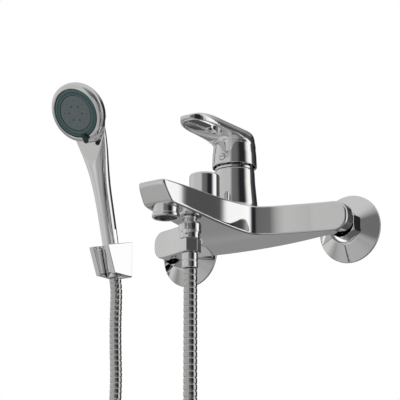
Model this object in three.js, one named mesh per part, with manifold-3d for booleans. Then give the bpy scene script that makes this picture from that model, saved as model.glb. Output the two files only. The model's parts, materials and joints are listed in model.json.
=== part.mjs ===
// Wall mounted bath mixer: single lever body with spout and diverter, shower hose, handset and bracket.
// Millimetres. The wall is the plane y = 0, the room lies towards -y, z is up and x = 0 is midway
// between the two wall inlets.
import * as THREE from "three";
import { mergeVertices } from "three/addons/utils/BufferGeometryUtils.js";
import Module from "manifold-3d";

const wasm = await Module();
wasm.setup();

// ---------------------------------------------------------------- driving dimensions

const GAP = 0.3; // assembly gap between two separate pieces
const SLIDE_GAP = 0.4; // gap round a piece that moves

const INLET_SPACING = 180; // between the two wall inlets
const INLET_X = INLET_SPACING / 2;
const UNION_OFFSET = 4; // eccentricity of each wall union
const TAIL_X = INLET_X + UNION_OFFSET;
const INLET_THREAD_R = 10.3;
const INLET_BORE_R = 6;
const UNION_DEPTH = 15; // thread inside the wall
const UNION_LENGTH = 17.5; // thread in front of the wall

const ROSE_R = 31.6;
const ROSE_RIM = 2;
const ROSE_HEIGHT = 9.7;
const ROSE_NECK_R = 15.8;
const ROSE_WALL = 1.2;

const NUT_FLATS = 25;
const NUT_LENGTH = 14;
const NUT_START = ROSE_HEIGHT + GAP;
const NUT_END = NUT_START + NUT_LENGTH;
const NUT_FLOOR = 2.5;
const SEAL_THICKNESS = 1.5;
const COLLAR_THICKNESS = 1.6;
const TAIL_R = 8.5;

const BODY_TOP = 18;
const BODY_BOTTOM = -10;
const BODY_BACK = NUT_END + 0.5; // distance of the arm ends' rear face from the wall
const ARM_END_R = (BODY_TOP - BODY_BOTTOM) / 2;
const ARM_AXIS_Z = (BODY_TOP + BODY_BOTTOM) / 2;
const ARM_FRONT = 38; // arm front face at its outer end
const SPOUT_REACH = 186;
const SPOUT_TIP_HALF = 15;
const SPOUT_TIP_BOTTOM = -1.5;
const WATERWAY_R = 5;

const CARTRIDGE_R = 14; // 28 mm ceramic cartridge
const CARTRIDGE_WALL = 2.4;
const COLUMN_Y = -56;
const COLUMN_TOP = 57;
const COLUMN_TOP_R = CARTRIDGE_R + 4.6;
const COLUMN_BASE_R = COLUMN_TOP_R + 3.2;
const CAVITY_FLOOR = BODY_TOP + 2;
const LOCK_RING_R = CARTRIDGE_R + 2.4;
const PORT_R = 2.8;
const PORTS = { hot: [6, 4], cold: [-6, 4], mixed: [0, -7] }; // from the column axis

const LEVER_PIVOT_Z = 50;
const STEM_HALF = 3.5;
const STEM_FOOT_HALF = 2;
const STEM_TOP = 77;
const STEM_PIN_R = 1.2;
const DISC_R = 7.6;

const SKIRT_BOTTOM = 60.5;
const SKIRT_IN_R = COLUMN_TOP_R + 0.6;
const SKIRT_R = SKIRT_IN_R + 1.7;
const LEVER_LENGTH = 79; // from the column axis to the lever's tip
const LEVER_HALF = 17;
const LEVER_TOP = 98;
const LEVER_UNDER = 86; // underside of the loop's rim
const LOOP_HALF = 6.5;
const LOOP_HOLLOW = 4.5; // depth of the hollow under the loop
const BOSS_R = 7.5;
const SET_SCREW_R = 2;
const PLUG_R = 3;
const PLUG_Z = 67;

const KNOB_R = 13.8;
const KNOB_BOTTOM = BODY_TOP + 0.6;
const KNOB_TOP = 42;
const DIVERTER_STROKE = 8;
const DIVERTER_BORE_R = 7.4;
const DIVERTER_STEM_R = 2.4;
const BUSH_R = 7.6;
const BUSH_TOP = 32;
const CHAMBER_FLOOR = 0.6;

const AERATOR_R = 12.2;
const AERATOR_SETBACK = 23; // aerator axis behind the spout's tip
const AERATOR_BOTTOM = -11;
const AERATOR_TOP = 3;

const HOSE_R = 6;
const FERRULE_R = HOSE_R + 1;
const OUTLET_R = HOSE_R + 4;
const OUTLET_NECK_R = HOSE_R;
const HOSE_NUT_FLATS = 2 * HOSE_R + 5.2;
const OUTLET_THREAD_R = HOSE_R + 1.4;
const HOSE_BORE_R = HOSE_R - 2.4;

// The knob, the shower outlet and the aerator share the spout's free length between them.
const HOSE_NUT_R = HOSE_NUT_FLATS / Math.sqrt(3);
const SPOUT_FREE =
  SPOUT_REACH - AERATOR_SETBACK + COLUMN_Y - COLUMN_BASE_R - 2 * KNOB_R +
  (KNOB_R - DIVERTER_BORE_R) - OUTLET_NECK_R - HOSE_NUT_R - AERATOR_R;
const DIVERTER_Y = COLUMN_Y - COLUMN_BASE_R - KNOB_R - 0.37 * SPOUT_FREE;
const OUTLET_Y = DIVERTER_Y - DIVERTER_BORE_R - OUTLET_NECK_R - 0.25 * SPOUT_FREE;
const AERATOR_Y = AERATOR_SETBACK - SPOUT_REACH;

const BRACKET_X = -INLET_X - 85.4;
const BORE_TILT = THREE.MathUtils.degToRad(14.2); // the cup leans out from the wall
const BORE_Z = 4;
const CONE_BOTTOM_R = FERRULE_R + 1.6;
const CONE_TOP_R = CONE_BOTTOM_R + 1;
const CUP_BACK = 6.9; // from the wall to the cone at its widest
const BORE_Y = -CUP_BACK - CONE_TOP_R;
const CONE_BOTTOM = -12; // along the cup's axis, from its middle
const CONE_TOP = 13;
const BRACKET_WALL = 2.2;
const BRACKET_HALF = CONE_TOP_R + SLIDE_GAP + BRACKET_WALL;
const BRACKET_SLOT_HALF = HOSE_R + 0.7;
const PAD_THICKNESS = 0.8;
const PLATE_THICKNESS = 2.2;
const PLATE_BACK = PAD_THICKNESS + GAP; // distances from the wall
const PLATE_FRONT = PLATE_BACK + PLATE_THICKNESS;
const PLATE_LOW = 0.3;
const PLATE_HIGH = 22.2;
const SCREW_R = 1.5;
const SCREW_HEAD_R = 2.8;
const SCREW_HEAD = 1.8;
const SCREW_FRONT = 7.6; // distance of the screw's head from the wall
const SCREW_Z = 9;

const HEAD_R = 30.6;
const HEAD_Y = BORE_Y - 62.5;
const HEAD_Z = 143.8;
const FACE_TILT = THREE.MathUtils.degToRad(33); // the spray face looks this far below level
const FACE_R = 25;
const INNER_DISC_R = 18.4;
const NOZZLES = 12;
const CENTRE_JETS = 6;
const HANDLE_BORE_R = 4.5;
const TAB_TURN = THREE.MathUtils.degToRad(5); // where the selector tab stands at rest

const COIL = { x: -87, y: -70, z: -280, r: 62.5, turns: 2.5, pitch: 2 * HOSE_R + 0.3 };
const HOSE_SIDES = 8;

// ---------------------------------------------------------------- materials

const metal = (color, roughness) =>
  new THREE.MeshStandardMaterial({ color, roughness, metalness: 1 });
const plain = (color, roughness) =>
  new THREE.MeshStandardMaterial({ color, roughness, metalness: 0 });

const chrome = metal(0xc9c9cc, 0.08);
const hoseSteel = metal(0xb4b4b6, 0.25);
const brass = metal(0xb8965a, 0.35);
const steel = metal(0x9a9a9c, 0.3);
const darkPlastic = plain(0x2f3a3b, 0.45);
const greyPlastic = plain(0x4e5254, 0.5);
const blackPlastic = plain(0x161819, 0.4);
const whitePlastic = plain(0xe6e4de, 0.45);
const ceramic = plain(0xf1eee6, 0.2);
const rubber = plain(0x1d1d1d, 0.8);

// ---------------------------------------------------------------- solids

const X = new THREE.Vector3(1, 0, 0);
const Y = new THREE.Vector3(0, 1, 0);
const Z = new THREE.Vector3(0, 0, 1);

function solidOf(geometry) {
  const bare = geometry.clone();
  bare.deleteAttribute("normal");
  bare.deleteAttribute("uv");
  const merged = mergeVertices(bare, 1e-4);
  return new wasm.Manifold(
    new wasm.Mesh({
      numProp: 3,
      vertProperties: merged.attributes.position.array,
      triVerts: new Uint32Array(merged.index.array),
    }),
  );
}

function geometryOf(solid) {
  const mesh = solid.getMesh();
  return new THREE.BufferGeometry()
    .setAttribute("position", new THREE.BufferAttribute(mesh.vertProperties, 3))
    .setIndex(new THREE.BufferAttribute(mesh.triVerts, 1));
}

const combine = (how) => (first, ...others) =>
  geometryOf(others.reduce((made, other) => made[how](solidOf(other)), solidOf(first)));
const join = combine("add");
const cut = combine("subtract");
const common = combine("intersect");

// A turned solid round the z axis from [radius, height] points; the outline closes on itself.
function turned(profile, sides = 20) {
  const points = profile.map(([r, z]) => new THREE.Vector2(r, z));
  if (THREE.ShapeUtils.area(points) < 0) points.reverse();
  const onAxis = points[0].x === 0 && points.at(-1).x === 0;
  const closed = onAxis ? points : [...points, points[0]];
  return new THREE.LatheGeometry(closed, sides).rotateX(Math.PI / 2);
}

const drum = (r, low, high, sides) =>
  turned([[0, low], [r, low], [r, high], [0, high]], sides);
const ring = (outer, inner, low, high, sides) =>
  turned([[inner, low], [outer, low], [outer, high], [inner, high]], sides);

function prism(outline, low, high) {
  const shape = Array.isArray(outline)
    ? new THREE.Shape(outline.map(([u, v]) => new THREE.Vector2(u, v)))
    : outline;
  const depth = high - low;
  return new THREE.ExtrudeGeometry(shape, { depth, bevelEnabled: false, curveSegments: 7 })
    .translate(0, 0, low);
}

const block = (x0, x1, y0, y1, z0, z1) =>
  new THREE.BoxGeometry(x1 - x0, y1 - y0, z1 - z0)
    .translate((x0 + x1) / 2, (y0 + y1) / 2, (z0 + z1) / 2);

const hexagon = (flats, turn = 0) =>
  Array.from({ length: 6 }, (_, i) => {
    const angle = turn + (i * Math.PI) / 3;
    const corner = flats / Math.sqrt(3);
    return [corner * Math.cos(angle), corner * Math.sin(angle)];
  });

// A y-z outline carried along x, and an x-z outline carried from the wall into the room.
const acrossX = (outline, x0, x1) =>
  prism(outline, x0, x1).applyMatrix4(new THREE.Matrix4().makeBasis(Y, Z, X));
const intoRoom = (outline, near, far) =>
  prism(outline, near, far)
    .applyMatrix4(new THREE.Matrix4().makeBasis(X, Z, Y.clone().negate()));

// Turns a solid built along z so that it points from the wall into the room, at x and z.
const fromWall = (geometry, x, z = 0) => geometry.rotateX(Math.PI / 2).translate(x, 0, z);

function rod(from, to, r, sides = 8) {
  const start = new THREE.Vector3(...from);
  const way = new THREE.Vector3(...to).sub(start);
  const turn = new THREE.Quaternion().setFromUnitVectors(Z, way.clone().normalize());
  return drum(r, 0, way.length(), sides).applyQuaternion(turn).translate(...from);
}

// A closed skin through rings of points, with a fan over each end.
function loft(rings) {
  const sides = rings[0].length;
  const middle = (points) =>
    points.reduce((sum, p) => sum.add(p), new THREE.Vector3()).divideScalar(sides);
  const points = [...rings.flat(), middle(rings[0]), middle(rings.at(-1))];
  const first = rings.length * sides;
  const index = [];
  for (let j = 0; j < sides; j++) {
    const k = (j + 1) % sides;
    for (let i = 0; i + 1 < rings.length; i++) {
      const [a, b] = [i * sides + j, i * sides + k];
      index.push(a, b, b + sides, a, b + sides, a + sides);
    }
    const last = (rings.length - 1) * sides;
    index.push(first, k, j, first + 1, last + j, last + k);
  }
  return new THREE.BufferGeometry().setFromPoints(points).setIndex(index);
}

// ---------------------------------------------------------------- the model

const model = new THREE.Group();

function add(name, geometry, material, parent = model) {
  const mesh = new THREE.Mesh(geometry, material);
  mesh.name = name;
  parent.add(mesh);
  return mesh;
}

// ---- mixer body: arms, flat spout and cartridge column cast in one piece

function bodyOutline() {
  const tip = -SPOUT_REACH;
  const root = COLUMN_Y - 19;
  const half = [
    [0, tip],
    [SPOUT_TIP_HALF - 5, tip + 0.3],
    [SPOUT_TIP_HALF - 1.2, tip + 1.2],
    [SPOUT_TIP_HALF, tip + 4],
    [SPOUT_TIP_HALF + 2, tip + 34],
    [SPOUT_TIP_HALF + 5, root - 33],
    [SPOUT_TIP_HALF + 9.6, root],
    [SPOUT_TIP_HALF + 12, root + 7.5],
    [SPOUT_TIP_HALF + 17.3, root + 12],
    [TAIL_X - 10, -ARM_FRONT - 5],
    [TAIL_X + ARM_END_R - 5, -ARM_FRONT - 0.8],
    [TAIL_X + ARM_END_R, -ARM_FRONT],
    [TAIL_X + ARM_END_R, -BODY_BACK],
    [TAIL_X - ARM_END_R, -BODY_BACK],
    [TAIL_X / 2, -18],
    [0, -14],
  ];
  const mirrored = half.slice(1, -1).reverse().map(([x, y]) => [-x, y]);
  return [...half, ...mirrored];
}

function bodySide() {
  const tip = -SPOUT_REACH;
  return [
    [0, BODY_BOTTOM],
    [0, BODY_TOP],
    [tip - 1, BODY_TOP],
    [tip + 1.4, BODY_TOP - 5],
    [tip + 5.4, BODY_TOP - 11],
    [tip + 8.4, 3],
    [tip + 10.8, SPOUT_TIP_BOTTOM + 1],
    [tip + 14.5, SPOUT_TIP_BOTTOM],
    [COLUMN_Y - 4, BODY_BOTTOM],
  ];
}

// A bar with half-round ends, as the arms look from the front.
function armElevation() {
  const shape = new THREE.Shape();
  shape.absarc(TAIL_X, ARM_AXIS_Z, ARM_END_R, -Math.PI / 2, Math.PI / 2);
  shape.absarc(-TAIL_X, ARM_AXIS_Z, ARM_END_R, Math.PI / 2, (3 * Math.PI) / 2);
  return shape;
}

const column = () =>
  turned([
    [0, 0],
    [COLUMN_BASE_R + 0.8, 0],
    [COLUMN_BASE_R + 0.8, BODY_TOP],
    [COLUMN_BASE_R, BODY_TOP + 1.2],
    [COLUMN_BASE_R - 0.6, BODY_TOP + 4],
    [COLUMN_TOP_R + 0.4, COLUMN_TOP - 12],
    [COLUMN_TOP_R, COLUMN_TOP],
    [0, COLUMN_TOP],
  ], 32).translate(0, COLUMN_Y, 0);

function tail(side) {
  const seat = UNION_LENGTH + 2 * GAP + SEAL_THICKNESS;
  return fromWall(
    turned([
      [0, seat],
      [INLET_THREAD_R, seat],
      [INLET_THREAD_R, seat + COLLAR_THICKNESS],
      [TAIL_R, seat + COLLAR_THICKNESS],
      [TAIL_R, BODY_BACK + 1],
      [0, BODY_BACK + 1],
    ], 16),
    side * TAIL_X,
  );
}

// Cored water passages: two inlets to the cartridge, then by way of the diverter to both outlets.
function waterways() {
  const inletDepth = BODY_BACK + 8;
  const passages = [];
  for (const [side, port] of [[1, PORTS.hot], [-1, PORTS.cold]]) {
    const turnPoint = [side * TAIL_X, -inletDepth, 1];
    const under = [port[0], COLUMN_Y + port[1], 1];
    passages.push(fromWall(drum(INLET_BORE_R, 10, inletDepth, 12), side * TAIL_X));
    passages.push(rod(turnPoint, under, WATERWAY_R));
    passages.push(rod(under, [under[0], under[1], CAVITY_FLOOR + 1], PORT_R));
  }
  const mixed = [0, COLUMN_Y + PORTS.mixed[1]];
  passages.push(rod([...mixed, 5], [...mixed, CAVITY_FLOOR + 1], PORT_R));
  passages.push(rod([0, mixed[1] + 3, 7], [0, DIVERTER_Y, 7], 3.2));
  passages.push(rod([0, DIVERTER_Y, 11.4], [0, AERATOR_Y, 9], 2.6));
  passages.push(rod([0, DIVERTER_Y, -1.6], [0, OUTLET_Y, -1.6], 2, 10));
  passages.push(rod([0, DIVERTER_Y, -2], [0, DIVERTER_Y, CHAMBER_FLOOR + 1], 3.6));
  return passages;
}

function mixerBody() {
  const plan = prism(bodyOutline(), BODY_BOTTOM - 1, BODY_TOP);
  const side = acrossX(bodySide(), -TAIL_X - ARM_END_R - 1, TAIL_X + ARM_END_R + 1);
  const front = intoRoom(armElevation(), 0, SPOUT_REACH + 1);
  const casting = common(plan, side, front);
  const at = (geometry, y) => geometry.translate(0, y, 0);
  return cut(
    join(casting, common(column(), block(-30, 30, COLUMN_Y - 40, COLUMN_Y + 40, 10, COLUMN_TOP + 1)),
      tail(1), tail(-1)),
    at(drum(CARTRIDGE_R + GAP, CAVITY_FLOOR, COLUMN_TOP + 1, 32), COLUMN_Y),
    at(drum(LOCK_RING_R + GAP, COLUMN_TOP - 2.5, COLUMN_TOP + 1, 32), COLUMN_Y),
    at(drum(DIVERTER_BORE_R, CHAMBER_FLOOR, BODY_TOP + 1, 20), DIVERTER_Y),
    at(drum(AERATOR_R - 0.8 + GAP, SPOUT_TIP_BOTTOM - 8, AERATOR_TOP + 2.4, 32), AERATOR_Y),
    at(drum(5, 0, 9, 16), AERATOR_Y),
    at(drum(OUTLET_NECK_R + GAP, BODY_BOTTOM, 3.3, 20), OUTLET_Y),
    ...waterways(),
  );
}

// ---- wall inlets: eccentric union, rose, seal and union nut on each side

function wallUnion(side) {
  const inWall = fromWall(drum(INLET_THREAD_R, -UNION_DEPTH, 1.5, 20), side * INLET_X);
  const inRoom = fromWall(drum(INLET_THREAD_R, 0, UNION_LENGTH, 20), side * TAIL_X);
  const boreInWall = fromWall(drum(INLET_BORE_R, -UNION_DEPTH - 1, 1.5, 12), side * INLET_X);
  const boreInRoom = fromWall(drum(INLET_BORE_R, 0, UNION_LENGTH + 1, 12), side * TAIL_X);
  return cut(join(inWall, inRoom), boreInWall, boreInRoom);
}

function rose(side) {
  const outside = turned([
    [0, 0],
    [ROSE_R, 0],
    [ROSE_R, ROSE_RIM],
    [ROSE_NECK_R, ROSE_HEIGHT],
    [0, ROSE_HEIGHT],
  ], 32);
  const inside = turned([
    [0, -1],
    [ROSE_R - ROSE_WALL, -1],
    [ROSE_R - ROSE_WALL, ROSE_RIM - 0.5 * ROSE_WALL],
    [ROSE_NECK_R - ROSE_WALL, ROSE_HEIGHT - ROSE_WALL],
    [0, ROSE_HEIGHT - ROSE_WALL],
  ], 32);
  const middle = side * (INLET_X + UNION_OFFSET / 2);
  const holeR = INLET_THREAD_R + UNION_OFFSET / 2 + SLIDE_GAP;
  return cut(
    fromWall(outside, side * INLET_X),
    fromWall(inside, side * INLET_X),
    fromWall(drum(holeR, 0, ROSE_HEIGHT + 1, 32), middle),
  );
}

// A hexagon nut from low to high with turned chamfers, its floor at the high end.
function hexNut(flats, low, high, threadR, floor, floorR, turn) {
  const corner = flats / Math.sqrt(3);
  const chamfered = common(
    prism(hexagon(flats, turn), low, high),
    turned([
      [0, low],
      [flats / 2 + 0.3, low],
      [corner + 0.1, low + 1.2],
      [corner + 0.1, high - 1.2],
      [flats / 2 + 0.3, high],
      [0, high],
    ], 16),
  );
  return cut(
    chamfered,
    drum(threadR, low - 1, high - floor, 20),
    drum(floorR, low, high + 1, 20),
  );
}

function inlet(label, side) {
  const seal = ring(INLET_THREAD_R - 0.1, INLET_BORE_R + 0.5,
    UNION_LENGTH + GAP, UNION_LENGTH + GAP + SEAL_THICKNESS, 20);
  const nut = hexNut(NUT_FLATS, NUT_START, NUT_END, INLET_THREAD_R + GAP, NUT_FLOOR,
    TAIL_R + GAP, Math.PI / 2);
  add("wall_union_" + label, wallUnion(side), brass);
  add("escutcheon_" + label, rose(side), chrome);
  add("inlet_seal_" + label, fromWall(seal, side * TAIL_X), rubber);
  add("union_nut_" + label, fromWall(nut, side * TAIL_X), chrome);
}

// ---- cartridge: built round the column axis

const cartridge = new THREE.Group();
cartridge.position.y = COLUMN_Y;
model.add(cartridge);

const BASE_LOW = CAVITY_FLOOR + 1.8;
const DISC_LOW = BASE_LOW + 4.5;
const MOVING_LOW = DISC_LOW + 3.6;
const CARRIAGE_LOW = MOVING_LOW + 3.6;
const CARRIAGE_TOP = 41.5;
const CARRIER_LOW = 42.3;
const HOUSING_TOP = COLUMN_TOP - 2.8;
const HOUSING_LIP = 1.8;
const CARRIER_NECK_R = CARTRIDGE_R - 5.8;

function portHoles(r, low, high) {
  return Object.values(PORTS).map(([x, y]) => drum(r, low, high, 8).translate(x, y, 0));
}

function cartridgeHousing() {
  const bore = CARTRIDGE_R - CARTRIDGE_WALL;
  return turned([
    [bore, DISC_LOW],
    [CARTRIDGE_R, DISC_LOW],
    [CARTRIDGE_R, HOUSING_TOP],
    [CARRIER_NECK_R + SLIDE_GAP, HOUSING_TOP],
    [CARRIER_NECK_R + SLIDE_GAP, HOUSING_TOP - HOUSING_LIP],
    [bore, HOUSING_TOP - HOUSING_LIP],
  ]);
}

function cartridgeCarrier() {
  const carrierR = CARTRIDGE_R - CARTRIDGE_WALL - GAP;
  const shoulder = HOUSING_TOP - HOUSING_LIP - GAP;
  const turnedPart = turned([
    [0, CARRIER_LOW],
    [carrierR, CARRIER_LOW],
    [carrierR, shoulder],
    [CARRIER_NECK_R, shoulder],
    [CARRIER_NECK_R, HOUSING_TOP + 2.2],
    [0, HOUSING_TOP + 2.2],
  ]);
  const slotX = STEM_HALF + GAP;
  const slotY = CARRIER_NECK_R - 1.8;
  return cut(
    turnedPart,
    block(-slotX, slotX, -slotY, slotY, CARRIER_LOW - 1, HOUSING_TOP + 4),
    rod([-CARTRIDGE_R, 0, LEVER_PIVOT_Z], [CARTRIDGE_R, 0, LEVER_PIVOT_Z], STEM_PIN_R + GAP, 12),
  );
}

function cartridgeStem() {
  const shank = block(-STEM_HALF, STEM_HALF, -STEM_HALF, STEM_HALF, 44, STEM_TOP);
  const foot = block(-STEM_FOOT_HALF, STEM_FOOT_HALF, -STEM_FOOT_HALF, STEM_FOOT_HALF,
    CARRIAGE_TOP - 4, 45);
  return cut(
    join(shank, foot),
    rod([-9, 0, LEVER_PIVOT_Z], [9, 0, LEVER_PIVOT_Z], STEM_PIN_R + GAP, 12),
  );
}

function cartridgePieces() {
  for (const [name, [x, y]] of Object.entries(PORTS)) {
    const seal = ring(PORT_R + 1.6, PORT_R + 0.3, CAVITY_FLOOR + GAP, BASE_LOW - GAP, 12);
    add("port_seal_" + name, seal.translate(x, y, 0), rubber, cartridge);
  }
  const base = cut(drum(CARTRIDGE_R, BASE_LOW, DISC_LOW - GAP), ...portHoles(PORT_R, 0, 60));
  const discR = CARTRIDGE_R - CARTRIDGE_WALL - GAP;
  const fixedDisc = cut(drum(discR, DISC_LOW, MOVING_LOW - GAP),
    ...portHoles(PORT_R - 0.3, 0, 60));
  const socket = STEM_FOOT_HALF + 1.2;
  const carriage = cut(
    drum(DISC_R, CARRIAGE_LOW, CARRIAGE_TOP, 20),
    block(-socket, socket, -socket, socket, CARRIAGE_TOP - 5, CARRIAGE_TOP + 1),
  );
  const pinHalf = CARTRIDGE_R - CARTRIDGE_WALL - 1.2;
  const pin = rod([-pinHalf, 0, LEVER_PIVOT_Z], [pinHalf, 0, LEVER_PIVOT_Z], STEM_PIN_R, 12);
  const lockRing = turned([
    [CARRIER_NECK_R + 1.4, HOUSING_TOP + GAP],
    [LOCK_RING_R, HOUSING_TOP + GAP],
    [LOCK_RING_R, COLUMN_TOP + 0.4],
    [LOCK_RING_R - 1, COLUMN_TOP + 1.2],
    [CARRIER_NECK_R + 1.4, COLUMN_TOP + 1.2],
  ]);
  const trimR = COLUMN_TOP_R - 0.4;
  const trimRing = turned([
    [trimR - 1, COLUMN_TOP + GAP],
    [trimR, COLUMN_TOP + GAP],
    [trimR, SKIRT_BOTTOM - 1],
    [trimR - 0.4, SKIRT_BOTTOM - 0.5],
    [trimR - 1, SKIRT_BOTTOM - 0.5],
  ], 28);
  add("cartridge_base", base, whitePlastic, cartridge);
  add("fixed_ceramic_disc", fixedDisc, ceramic, cartridge);
  add("moving_ceramic_disc", drum(DISC_R, MOVING_LOW, CARRIAGE_LOW - GAP, 20), ceramic, cartridge);
  add("disc_carriage", carriage, whitePlastic, cartridge);
  add("cartridge_housing", cartridgeHousing(), whitePlastic, cartridge);
  add("cartridge_carrier", cartridgeCarrier(), greyPlastic, cartridge);
  add("cartridge_stem", cartridgeStem(), steel, cartridge);
  add("stem_pin", pin, steel, cartridge);
  add("cartridge_lock_ring", lockRing, brass, cartridge);
  add("trim_ring", trimRing, chrome, cartridge);
}

// ---- lever: a closed loop on a conical neck that drops over the column as a skirt

function leverPlan() {
  const tip = -LEVER_LENGTH;
  const side = LEVER_HALF;
  const shape = new THREE.Shape();
  shape.absarc(0, 0, SKIRT_R - 1.5, 0, Math.PI);
  shape.bezierCurveTo(1.5 - SKIRT_R, -16, -side - 0.5, -24, -side, -44);
  shape.bezierCurveTo(-side, tip + 16, -10, tip, 0, tip);
  shape.bezierCurveTo(10, tip, side, tip + 16, side, -44);
  shape.bezierCurveTo(side + 0.5, -24, SKIRT_R - 1.5, -16, SKIRT_R - 1.5, 0);
  return shape;
}

// The blade seen from the side; y is measured from the column axis.
function bladeSide() {
  const tip = -LEVER_LENGTH;
  const shape = new THREE.Shape();
  shape.moveTo(SKIRT_R - 0.8, LEVER_UNDER - 8);
  shape.bezierCurveTo(SKIRT_R - 2, LEVER_TOP - 6, SKIRT_R - 8, LEVER_TOP, 0, LEVER_TOP);
  shape.bezierCurveTo(-24, LEVER_TOP, tip + 30, LEVER_TOP - 1, tip + 10, LEVER_TOP - 4);
  shape.bezierCurveTo(tip + 3, LEVER_TOP - 5.5, tip, LEVER_TOP - 7, tip, LEVER_UNDER + 2.5);
  shape.bezierCurveTo(tip + 1, LEVER_UNDER, tip + 8, LEVER_UNDER, tip + 20, LEVER_UNDER);
  shape.bezierCurveTo(-40, LEVER_UNDER, -SKIRT_R - 4, LEVER_UNDER, 4 - SKIRT_R, LEVER_UNDER - 1);
  return shape;
}

// The blade seen from the front: its top is crowned from edge to edge.
function bladeCrown() {
  const shape = new THREE.Shape();
  shape.moveTo(-SKIRT_R, LEVER_UNDER - 9);
  shape.lineTo(SKIRT_R, LEVER_UNDER - 9);
  shape.lineTo(SKIRT_R, LEVER_TOP - 7);
  shape.quadraticCurveTo(0, LEVER_TOP + 7, -SKIRT_R, LEVER_TOP - 7);
  return shape;
}

function loopSlot() {
  const shape = new THREE.Shape();
  const front = -LEVER_LENGTH + 10 + LOOP_HALF;
  const back = -SKIRT_R - 2 - LOOP_HALF;
  shape.absarc(0, back, LOOP_HALF, 0, Math.PI);
  shape.absarc(0, front, LOOP_HALF, Math.PI, 2 * Math.PI);
  return prism(shape, SKIRT_BOTTOM, LEVER_TOP + 1);
}

// The hollow under the loop, as a flattened ball.
const loopHollow = () =>
  new THREE.SphereGeometry(1, 16, 8)
    .scale(LEVER_HALF - 3, LEVER_LENGTH / 2 - 12, LOOP_HOLLOW)
    .translate(0, -LEVER_LENGTH / 2 - 10, LEVER_UNDER - 1);

function leverHandle() {
  const blade = common(
    prism(leverPlan(), LEVER_UNDER - 9, LEVER_TOP + 1),
    acrossX(bladeSide(), -SKIRT_R - 1, SKIRT_R + 1),
    intoRoom(bladeCrown(), -SKIRT_R - 1, LEVER_LENGTH + 1),
  );
  const neck = turned([
    [0, SKIRT_BOTTOM],
    [SKIRT_R, SKIRT_BOTTOM],
    [SKIRT_R - 0.4, LEVER_UNDER - 14],
    [SKIRT_R - 1.4, LEVER_UNDER - 5],
    [SKIRT_R - 3.6, LEVER_UNDER + 2],
    [0, LEVER_UNDER + 2],
  ], 32);
  const socket = STEM_HALF + GAP;
  const hollowed = cut(
    join(blade, neck),
    drum(SKIRT_IN_R, SKIRT_BOTTOM - 1, LEVER_UNDER - 6, 32),
    loopHollow(),
    loopSlot(),
  );
  return cut(
    join(hollowed, drum(BOSS_R, PLUG_Z - 4, LEVER_UNDER, 20)),
    block(-socket, socket, -socket, socket, PLUG_Z - 5, STEM_TOP + GAP),
    rod([0, 0, PLUG_Z], [0, -BOSS_R - 2, PLUG_Z], SET_SCREW_R + GAP, 12),
    rod([0, -SKIRT_IN_R + 2, PLUG_Z], [0, -SKIRT_R - 2, PLUG_Z], PLUG_R + GAP, 16),
  );
}

function leverPieces() {
  const screwStart = STEM_HALF + GAP;
  add("lever_handle", leverHandle(), chrome, cartridge);
  add("handle_set_screw",
    rod([0, -screwStart, PLUG_Z], [0, -screwStart - 5, PLUG_Z], SET_SCREW_R, 12), steel, cartridge);
  add("index_plug",
    rod([0, -SKIRT_IN_R, PLUG_Z], [0, -SKIRT_R - 0.3, PLUG_Z], PLUG_R, 16), whitePlastic, cartridge);
}

// ---- diverter: pull-up knob, stem, guide bush, return spring and rubber faced valve

const diverter = new THREE.Group();
diverter.position.y = DIVERTER_Y;
model.add(diverter);

const VALVE_LOW = CHAMBER_FLOOR + GAP;
const VALVE_TOP = VALVE_LOW + 4.2;
const BUSH_BOTTOM = VALVE_TOP + DIVERTER_STROKE + 0.5; // clear of the raised valve
const SPRING_LOW = BUSH_BOTTOM;
const STEM_SHOULDER_R = 4.6;

class Helix extends THREE.Curve {
  constructor(r, low, high, turns) {
    super();
    Object.assign(this, { r, low, high, turns });
  }
  getPoint(t, target = new THREE.Vector3()) {
    const angle = 2 * Math.PI * this.turns * t;
    const height = this.low + (this.high - this.low) * t;
    return target.set(this.r * Math.cos(angle), this.r * Math.sin(angle), height);
  }
}

function circle(r, sides) {
  const points = Array.from({ length: sides }, (_, i) => {
    const angle = (2 * Math.PI * i) / sides;
    return new THREE.Vector2(r * Math.cos(angle), r * Math.sin(angle));
  });
  return new THREE.Shape(points);
}

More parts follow.
